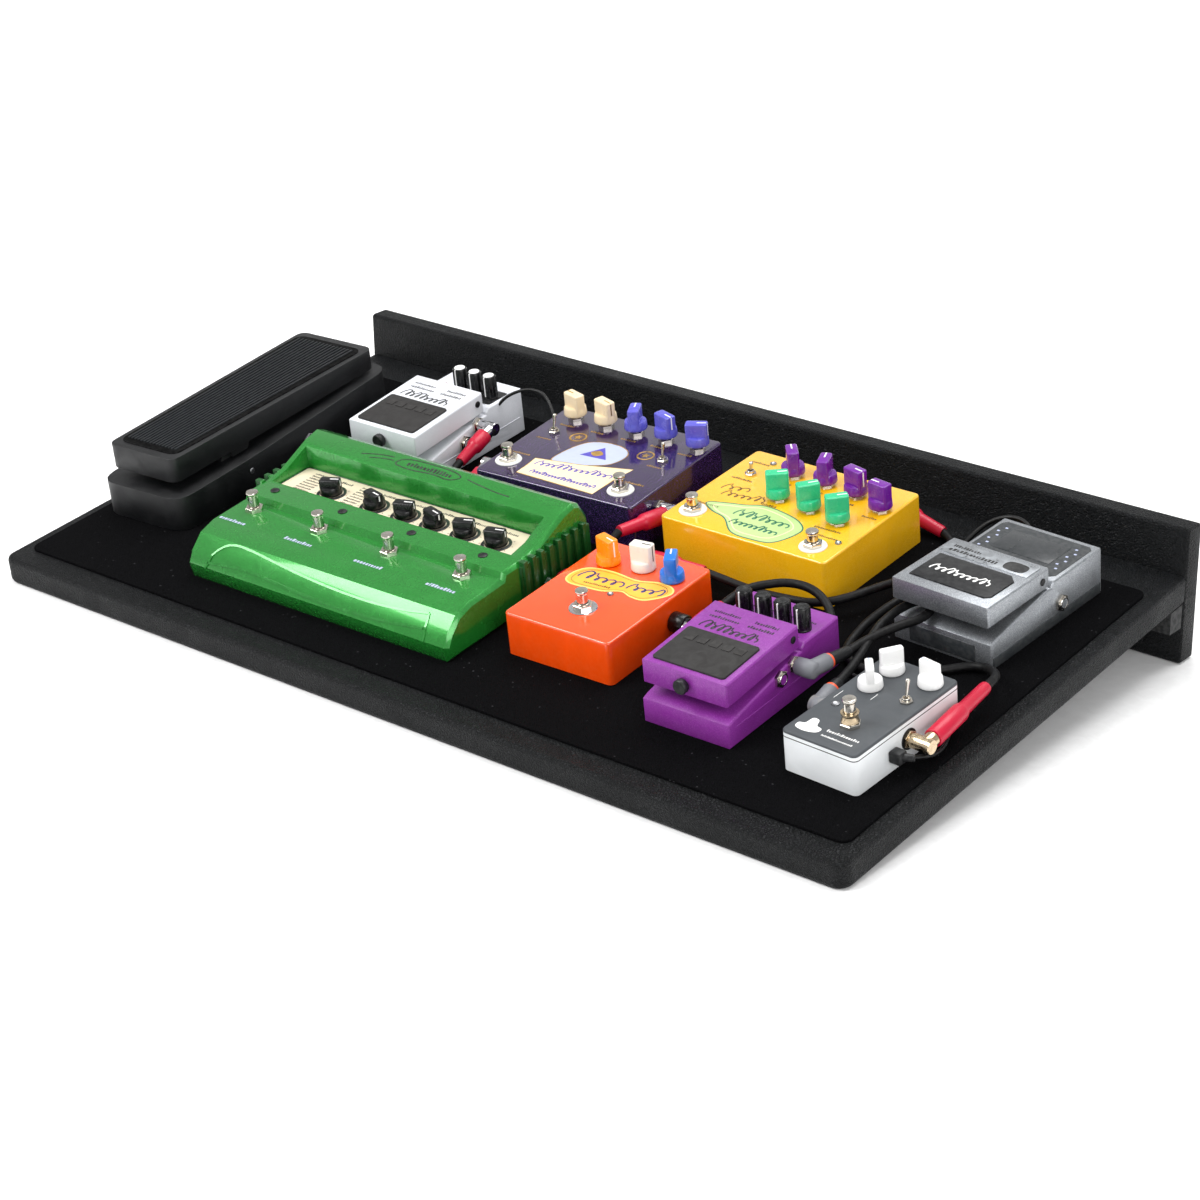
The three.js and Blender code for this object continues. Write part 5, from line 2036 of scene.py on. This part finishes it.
class TunerPedal(CompactPedal):
    """The silver tuner, with its display behind the treadle."""

    def dress(self) -> None:
        """Add the inlay, the display and the side bands."""
        cover = self._cover()
        inlay = [(9, 10), (72, 10), (76, 14), (76, 40), (70, 46), (9, 46)]
        raised = Shape().plate(inlay, -0.1, 1.2, 0.5, 2)
        put("tuner_inlay", raised, cover, BLACK_SATIN, self.treadle)
        word = [scribble(16, 24, 48, 8.5, 101)]
        line_label("tuner_print", word, cover, 1.2, INK_WHITE, 1.2, False, self.treadle)
        band = Shape().plate([(5, 50), (79, 50), (79, 67), (5, 67)], -0.1, 0.5, 0.2, 2)
        put("tuner_band", band, cover, INK_SILVER, self.treadle)
        captions = dashes(10, 60, 22, 3.0, 102) + dashes(10, 54, 40, 3.6, 103)
        label("tuner_captions", captions, cover, 0.5, INK_BLACK, 0.12, self.treadle)
        badge = smooth_outline([(58, 53), (71, 53), (74, 58.5), (71, 64), (58, 64), (55, 58.5)], 4)
        label("tuner_badge", [badge], cover, 0.5, INK_BLACK, 0.15, self.treadle)
        deep = Shape().plate(
            [(7, 78), (77, 78), (80.5, 81.5), (80.5, 125), (77, 128.5), (7, 128.5), (3.5, 125),
             (3.5, 81.5)], self.rear - 0.2, self.rear + 0.25, 0.1, 1,
        )
        put("tuner_plate", deep, self.place, TUNER_GREY)
        glass = Shape().plate(
            [(17, 92), (67, 92), (67, 120), (17, 120)], self.rear, self.rear + 0.6, 0.2, 2,
        )
        put("tuner_display", glass, self.place, DISPLAY)
        dots = Shape()
        for i in range(6):
            for x in (8.5 + i % 2 * 3, 74.5 - i % 2 * 3):
                y = 89 + i * 6
                dots.box((x - 1, y, self.rear + 0.1), (x + 1, y + 1.6, self.rear + 0.4))
        for x, length in ((14, 3), (24, 8), (44, 4), (54, 10)):
            dots.box((x, 86, self.rear + 0.1), (x + length, 87.2, self.rear + 0.4))
        put("tuner_dots", dots, self.place, INK_PALE)
        for side, x in (("left", 0.0), ("right", self.width)):
            wall = self.place.facing(x, 0, 0, side)
            sign = 1 if side == "right" else -1
            low = min(sign * 1.5, sign * 130)
            foot = Shape().box((low, 0.2, -0.2), (low + 128.5, 8.5, 0.4), 0.2, 2)
            put(f"tuner_side_band_{side}", foot, wall, TUNER_GREY)
        # A dark grey strip on the base's front face below the treadle: painted shade.
        nose = Shape().box((14, -0.5, 2), (70, 0.3, 15), 0.5, 2)
        put("tuner_nose_shade", nose, self.place, TUNER_GREY)


# ---- four-switch modeller ----


@dataclass
class Modeller:
    """The wide green pedal with four switches, a knob panel and a raised hood.

    Attributes:
        at: Its front left corner on the deck and its turn, as (u, v, degrees).
        width: Its width, in millimetres.
        switches: The switches' places along it.
        knobs: The knobs' places along it.
        panel: The height of the knob panel.
        rib: The height of the rib in front of the panel.
    """

    at: Point = (-242.1, 52.7, 0.6)
    width: float = 263.0
    switches: Sequence[float] = (21.5, 90.0, 161.0, 232.0)
    knobs: Sequence[float] = (57.0, 102.0, 133.5, 162.5, 193.0, 223.5)
    panel: float = 36.0
    rib: float = 41.0

    def build(self) -> None:
        """Make the pedal."""
        u, v, yaw = self.at
        self.place = Place.on_deck().inner(u, v, DeckSizes().stand, yaw)
        refined("green_case", GREEN, BOARD, 0.7, 40.0)
        for i in range(4):
            Footswitch(f"green_footswitch_{i + 1}", 16, None).build()
        self._knob_panel()
        self._trim()
        self._vents()
        LOG.info("built the green pedal")

    def _knob_panel(self) -> None:
        """Make the cream panel, its wells, marks and knobs."""
        place, height = self.place, self.panel
        edge = Shape().plate(round_outline(8.6, 91.6, 249.4, 130.4, 3, 5), height - 0.1, height + 0.25)
        put("green_panel_edge", edge, place, BLACK_SATIN)
        sheet = Shape().plate(
            round_outline(10.2, 93.2, 247.8, 128.8, 2.5, 5), height, height + 0.5, 0.1, 1
        )
        put("green_panel", sheet, place, PANEL_CREAM)
        captions = []
        for i, x in enumerate(self.knobs):
            node = f"green_knob_{i + 1}"
            PointerKnob(node, BLACK_GLOSS, INK_WHITE, 0.6, 13, 0.95, 4.4).build("knob_black")
            well = Shape().turned([
                (9.5, height + 0.3), (11.6, height + 0.3), (11.8, height + 0.9), (11.0, height + 1.2),
                (9.5, height + 1.2), (9.5, height + 0.3),
            ], (x, 105, 0), 40)
            put(f"green_well_{i + 1}", well, place, BLACK_SATIN)
            ticks = []
            for k in range(9):
                turn = radians(-225 + k * 33.75)
                cx, cy = cos(turn), sin(turn)
                ticks.append([(x + 12.6 * cx, 105 + 12.6 * cy), (x + 14.0 * cx, 105 + 14.0 * cy)])
            if i == 0:
                for k in range(8):
                    captions += dashes(x - 34, 97 + k * 3.7, 15, 1.9, 110 + k)
                    captions += dashes(x + 15.5, 97 + k * 3.7, 13, 1.9, 120 + k)
            line_label(f"green_ticks_{i + 1}", ticks, place, height + 0.5, INK_BLACK, 0.4)
            captions += dashes(x - 7, 121.5, 13, 2.6, 130 + i)
        label("green_panel_print", captions, place, height + 0.5, INK_BLACK)

    def _trim(self) -> None:
        """Add the rib's screws, the nose's flowing lines, the hood's badge and the captions."""
        place = self.place
        for i, x in enumerate((21.0, 92.0, 162.0, 232.0)):
            head = [(0, 0), (3.6, 0), (3.6, 0.7), (3.0, 1.1), (0, 1.1)]
            screw = Shape().turned(head, (x, 80.5, self.rib - 0.1))
            put(f"green_screw_{i + 1}", screw, place, BLACK_SATIN)
            # A dark disc on the screw head: painted shade in its socket.
            slot = Shape().turned([(0, 0), (1.4, 0), (1.2, 0.1), (0, 0.1)], (x, 80.5, self.rib + 1.0), 6)
            put(f"green_screw_{i + 1}_socket", slot, place, HOLE_SHADE_AND_SEAM)
        upper = place.inner(0, 5, 21.0, 0, 42.3)
        lower = place.inner(0, 0, 12.0, 0, 60.9)
        sweep = [
            (24, 0), (28, 6), (35, 11.5), (45, 13.5), (60, 12.8), (85, 10), (115, 7), (150, 4.8),
            (185, 4.4), (215, 6.5), (238, 10.5),
        ]
        under = [(20, 4), (60, 8.5), (105, 5), (150, 3), (195, 4.5), (238, 9)]
        for name, face, runs in (
            ("upper", upper, [sweep, [(238, 10.5), (239.5, 5), (240, 0)]]),
            ("lower", lower, [under, [(240, 10), (240.5, 5), (240.5, 0)], [(24, 10), (20, 0)]]),
        ):
            shape = Shape()
            for run in runs:
                line = rounded_line([(x, y, -0.3) for x, y in run], 30, 5)
                shape.ribbon(line, 1.8, 1.0)
            put(f"green_nose_{name}_sweep", shape, face, GREEN)
        hood = place.inner(0, 136, 56.0, 0, 12.1)
        swoops = [
            [(60 + 30 * k / 8, 3 + 6 * sin(k / 8 * pi / 2)) for k in range(9)],
            [(165 + 45 * k / 8, 8 - 5 * sin(k / 8 * pi / 2)) for k in range(9)],
            [(70 + 22 * k / 8, 1.5 + 4 * sin(k / 8 * pi / 2)) for k in range(9)],
        ]
        line_label("green_hood_lines", swoops, hood, 0.0, INK_BLACK, 0.8)
        badge = smooth_outline([
            (96, 3), (112, 1), (134, 3), (150, 2), (158, 8), (146, 12), (118, 12.5), (100, 10)
        ])
        line_label("green_badge", [badge], hood, 0.0, INK_BLACK, 0.9, True)
        label("green_badge_print", dashes(106, 4.5, 42, 4.5, 141), hood, 0.0, INK_BLACK)
        captions = []
        for i, x in enumerate(self.switches):
            captions += dashes(x - 16, 34, 26, 3.6, 150 + i)
        label("green_captions", captions, place, 35.2, INK_PALE, 0.3)

    def _vents(self) -> None:
        """Add the ribbed blocks on both ends, in the green darkened as painted shade."""
        for side, face, sign in (("left", 0.0, -1), ("right", self.width, 1)):
            shape = Shape()
            self._block(shape, face, sign, 2.2, (84, 162), 38)
            for i in range(8):
                front = 85 + i * 9.6
                self._block(shape, face, sign, 4.6, (front, front + 4), 42)
            put(f"green_vents_{side}", shape, self.place, SHADED_VENT_GREEN)

    @staticmethod
    def _block(
        shape: Shape, face: float, sign: int, reach: float, run: tuple[float, float], top: float
    ) -> None:
        """Add a block that stands out of an end wall.

        Args:
            shape: The shape to add it to.
            face: The wall's place along the pedal.
            sign: The way the wall faces, one to the right and minus one to the left.
            reach: How far the block stands out.
            run: Where it starts and ends up the pedal.
            top: The height of its top.
        """
        low, high = sorted((face - sign * 0.5, face + sign * (reach + 0.15)))
        shape.box((low, run[0] - 0.15, 2.8), (high, run[1] + 0.15, top + 0.15), 0.4, 2)


# ---- rocker pedal ----


@dataclass
class RockerPedal:
    """The wah: a cast base, and a treadle with a ribbed mat.

    Attributes:
        at: Its heel's left corner on the deck and its turn, as (u, v, degrees).
        length: Its length, in millimetres.
        heel: The height of the treadle's top at the heel.
        toe: The height of the treadle's top at the toe.
        ribs: How many ribs the mat has.
    """

    at: Point = (-381.5, 93.5, 3.1)
    length: float = 254.0
    heel: float = 58.5
    toe: float = 56.0
    ribs: int = 16

    def build(self) -> None:
        """Make the pedal."""
        u, v, yaw = self.at
        place = Place.on_deck().inner(u, v, DeckSizes().stand, yaw)
        body = "wah_treadle"
        refined("wah_base", WAH_BLACK, BOARD, 1.0, 45.0)
        refined(body, WAH_BLACK, body, 1.6, 45.0)
        pitch = degrees(atan2(self.toe - self.heel, self.length))
        top = place.inner(43, 0, self.heel, 0, pitch)
        border = [(-30, 16), (30, 16), (34.5, 238), (-34.5, 238)]
        # The mat under the ribs shows only in the grooves, and its colour there is painted shade.
        mat = Shape().plate(self._eased(border, 9), -0.2, 0.9, 0.4, 2)
        put("wah_mat", mat, top, GROOVE_SHADE_RUBBER, body)
        ribs = Shape()
        for i in range(self.ribs):
            share = (i + 0.5) / self.ribs * 2 - 1
            near, far = share * 26.5, share * 30.5
            ribs.plate(
                [(near - 0.85, 22), (near + 0.85, 22), (far + 0.85, 232), (far - 0.85, 232)],
                0.8, 2.0, 0.3, 2,
            )
        put("wah_mat_ribs", ribs, top, RIB_RUBBER, body)
        sole = self._eased([(1.2, 1.2), (84.8, 1.2), (89.3, 252.8), (-3.3, 252.8)], 16)
        plate = Shape().plate(sole, 0.05, 0.9)
        put("wah_base_plate", plate, place, STEEL)
        for side, x in (("left", -1.2), ("right", 87.2)):
            wall = place.facing(x, 82, 32.0, side)
            pin = Shape().turned([(0, -3), (2.6, -3), (2.6, 0.4), (2.0, 0.9), (0, 0.9)])
            put(f"wah_pin_{side}", pin.moved(Matrix.Translation((0, -14, 0))), wall, STEEL)
        JackSocket("wah_jack", (87.5, 150, 15), "right", STEEL).build(place)
        LOG.info("built the rocker pedal")

    @staticmethod
    def _eased(corners: Outline, radius: float) -> Points:
        """An outline with its corners rounded."""
        line = rounded_line([(x, y, 0) for x, y in [*corners, *corners[:2]]], radius, 6)
        return [(p.x, p.y) for p in line[1:-1]]


# ---- board ----


@dataclass
class Board:
    """The vinyl-covered deck and rail, the carpet and the cleat.

    Attributes:
        side: Half the carpet's width, in millimetres.
        front: Its front edge's distance up the slope.
        back: Its back edge's distance up the slope.
        pile: Its thickness.
    """

    side: float = 389.0
    front: float = 20.0
    back: float = 392.0
    pile: float = 2.0

    def build(self) -> None:
        """Make the board."""
        refined("deck_board", VINYL, BOARD, 0.0, 50.0)
        refined("back_rail", VINYL, BOARD, 0.0, 50.0)
        node = frame["nodes"]["rail_cleat"]
        node.data.materials.clear()
        node.data.materials.append(CLEAT_BLACK.material())
        top = DeckSizes().top
        outline = round_outline(-self.side, self.front, self.side, self.back, 8, 8)
        sheet = Shape().plate(outline, top, top + self.pile, 0.7, 3)
        put("carpet_sheet", sheet, Place.on_deck(), CARPET, replaces=["hook_carpet"])
        LOG.info("built the board")


# ---- the whole ----


def make_pedals() -> dict[str, object]:
    """The pedals, in their places but not yet built."""
    return {
        "purple": PurplePedal(
            "purple", (-112.6, 241.5, 3.4), (148, 123, 39), AUBERGINE, "aubergine_paint",
            (("right", 33.6, 24), ("left", 34, 24)),
        ),
        "yellow": YellowPedal(
            "yellow", (60.2, 252.4, 0.2), (149, 123, 39), YELLOW, "yellow_paint",
            (("rear", 105, 18),),
        ),
        "orange": OrangePedal(
            "orange", (47.6, 89.3, 1.4), (94, 122, 34), ORANGE, "orange_paint",
            (("rear", 20, 18), ("right", 72.7, 16), ("left", 72.7, 16)),
        ),
        "mini": MiniPedal(
            "mini", (304.5, 68.5, -2.7), (61, 113, 31), WHITE_CASE, "white_paint",
            (("right", 56, 15.5), ("left", 56, 15.5)), BRASSY, BLACK_SATIN,
        ),
        "white": WhitePedal(
            "white", (-249.8, 243.3, 0.3), PEARL, "pearl_paint",
            (("right", 56, 20), ("right", 73.5, 29)),
        ),
        "violet": VioletPedal(
            "violet", (188, 68.7, 0.6), VIOLET, "violet_paint",
            (("right", 58.5, 24.5), ("right", 74, 28), ("left", 74, 28)),
        ),
        "tuner": TunerPedal(
            "tuner", (269.8, 248.5, -3.3), SILVER, "silver_paint",
            (("right", 82, 15), ("left", 82, 15)), 84.0, 35.0, (-1.5, 49.0), (70.0, 47.5),
            (62.0, 39.9),
        ),
    }


ROUTES: dict[str, list[tuple[float, float, float]]] = {
    "tuner_mini_lead": [
        (262, 272, 40), (257, 258, 37), (252, 243, 32), (251, 228, 28), (254, 214, 26.6),
        (262, 203, 26.6), (275, 197, 26.6), (290, 197, 26.6), (305, 202, 26.6),
        (318, 212, 26.6), (330, 225, 26.6), (341, 235, 27), (352, 237, 28.5),
        (362, 231.5, 31.5), (370, 223, 35), (375, 212, 38.5), (377, 200, 40),
    ],
    "mini_violet_lead": [
        (291, 152, 42), (289.5, 168, 43.5), (286, 186, 45), (282, 203, 47), (279, 219, 49),
        (277.5, 234, 49), (278.5, 248, 49.2), (283.5, 260, 49.8), (291.5, 262, 49.8),
        (297.5, 254, 49.3), (297.5, 241, 49), (292, 227, 49.5), (286, 212, 49),
        (281, 197, 48), (278.5, 182, 47),
    ],
    "violet_orange_lead": [
        (172, 180, 53), (172.5, 195, 54), (175, 209, 54), (182, 222, 53), (192, 231, 52.5),
        (205, 234, 52), (219, 231, 51), (232, 224, 48), (241, 215, 43), (243, 209, 35),
        (238, 207, 29), (226, 208, 26.8), (212, 210, 26.6), (198, 210, 26.6),
        (186, 207.5, 26.6), (179, 199, 27.2), (178, 188, 29.5), (177.5, 178, 33),
        (173, 169, 37.5), (161, 164.3, 39.3),
    ],
    "orange_yellow_lead": [
        (116, 232, 40), (131, 233, 38), (148, 234.5, 35.5), (166, 237, 33.5),
        (184, 240, 33), (201, 242, 34), (215, 247, 36), (226, 257, 38), (233, 270, 38.5),
        (237, 285, 37), (239, 301, 33.5), (240, 318, 29.5), (240.5, 335, 27),
        (240, 352, 26.6), (237, 368, 26.6), (231, 380, 26.6), (220, 386.5, 28),
    ],
    "purple_white_lead": [
        (-161, 276, 41), (-160.8, 270, 38.8), (-160.5, 264, 36.4), (-160.3, 258, 33.9),
        (-160, 252, 31.5), (-159.5, 246.5, 29.5), (-158.4, 241, 27.9), (-156.7, 236.2, 26.9),
        (-154, 232, 26.6), (-150.3, 229, 26.6), (-146, 227.5, 26.6), (-141.6, 227.6, 26.9),
        (-137.5, 229.2, 27.8), (-134.4, 232.3, 29.3), (-132.1, 236.3, 31.3),
        (-130.6, 240.6, 33.6), (-129.5, 245, 36),
    ],
}


@dataclass(frozen=True)
class Hookup:
    """How a lead joins two jacks: (pedal, jack number, plug) at each end."""

    start: tuple[str, int, PlugKind]
    end: tuple[str, int, PlugKind]


HOOKUPS = {
    "tuner_mini_lead": Hookup(("tuner", 1, PlugKind.CRIMSON), ("mini", 0, PlugKind.CRIMSON)),
    "mini_violet_lead": Hookup(("mini", 1, PlugKind.MOULDED), ("violet", 1, PlugKind.MOULDED)),
    "violet_orange_lead": Hookup(("violet", 2, PlugKind.CRIMSON), ("orange", 1, PlugKind.STRAIGHT)),
    "orange_yellow_lead": Hookup(("orange", 0, PlugKind.CRIMSON), ("yellow", 0, PlugKind.CRIMSON)),
    "purple_white_lead": Hookup(("white", 1, PlugKind.CRIMSON), ("purple", 1, PlugKind.CRIMSON)),
}


def build_leads(pedals: dict[str, object], deck: Place) -> None:
    """Make the leads that the CAD has, each in place of its node.

    Args:
        pedals: The pedals, by name.
        deck: The deck's axes.
    """
    for name, route in ROUTES.items():
        hookup = HOOKUPS[name]
        ends = ((hookup.start, route[0]), (hookup.end, route[-1]))
        plugs = []
        for (pedal, index, kind), tip in ends:
            metal = BRASSY if pedal == "mini" else CHROME
            plugs.append(Plug(pedals[pedal].socket(index), kind, deck.point(*tip), metal=metal))
        Lead(name.replace("_lead", "_cord"), route, plugs=plugs, node=name).build(deck)


def build_extra_leads(pedals: dict[str, object], deck: Place) -> None:
    """Make the leads that only show here: one more patch lead and the thin supply wires.

    Args:
        pedals: The pedals, by name.
        deck: The deck's axes.
    """
    route = [
        (32, 192, 37), (32.5, 197, 38), (33.2, 203, 39.6), (34.2, 209, 41.8),
        (35.3, 215, 44.3), (36.4, 221, 47.2), (37.3, 226.5, 50), (38, 231.6, 52.5),
    ]
    plugs = [
        Plug(pedals["orange"].socket(2), PlugKind.CRIMSON, deck.point(*route[0]), 13.0),
        Plug(pedals["purple"].socket(0), PlugKind.CRIMSON, deck.point(*route[-1])),
    ]
    Lead("orange_purple_cord", route, plugs=plugs).build(deck)
    wires = {
        "white_supply_wire": (2.6, [
            (-178, 345, 58), (-174, 349, 63), (-168, 353, 67), (-160, 357, 70), (-151, 359, 71),
            (-142, 359, 70), (-134, 356, 67), (-127, 352, 62), (-122, 348, 56), (-119.5, 345, 50),
        ]),
        "tuner_supply_wire": (3.6, [
            (300, 382, 45), (293, 391, 48), (281, 397, 50), (267, 397, 48), (255, 391, 42),
            (248, 379, 34), (246, 363, 27), (249, 347, 24.8), (254, 331, 24.8), (257, 314, 24.8),
            (256, 297, 24.8),
        ]),
        "mini_supply_wire": (3.0, [
            (380, 108, 36), (383, 118, 32), (383, 129, 27.5), (381, 141, 25), (377, 153, 24.6),
            (371, 165, 24.6), (363, 176, 24.6), (353, 183, 24.6), (341, 186.5, 24.6),
            (327, 188, 24.6), (312, 188, 24.6), (297, 187.5, 24.6), (283, 187.5, 24.6),
            (271, 189, 24.6),
        ]),
    }
    for name, (diameter, points) in wires.items():
        Lead(name, points, diameter, finish=THIN_JACKET).build(deck)
    elbow = Shape().box((0, -4.5, -4.5), (9.5, 4.5, 4.5), 1.6, 3)
    elbow.rod((6, 0, 0), (15, 4.5, 0), 3.4, 2.2)
    mini = pedals["mini"].place.inner(61, 38, 13)
    put("mini_supply_plug", elbow, mini, BLACK_SATIN)


def main() -> None:
    """Build the whole scene."""
    logging.basicConfig(level=logging.INFO, format="%(name)s: %(message)s")
    deck = Place.on_deck()
    pedals = make_pedals()
    Studio().build()
    build_leads(pedals, deck)
    build_extra_leads(pedals, deck)
    Board().build()
    RockerPedal().build()
    Modeller().build()
    for pedal in pedals.values():
        pedal.build()


if __name__ == "__main__":
    main()
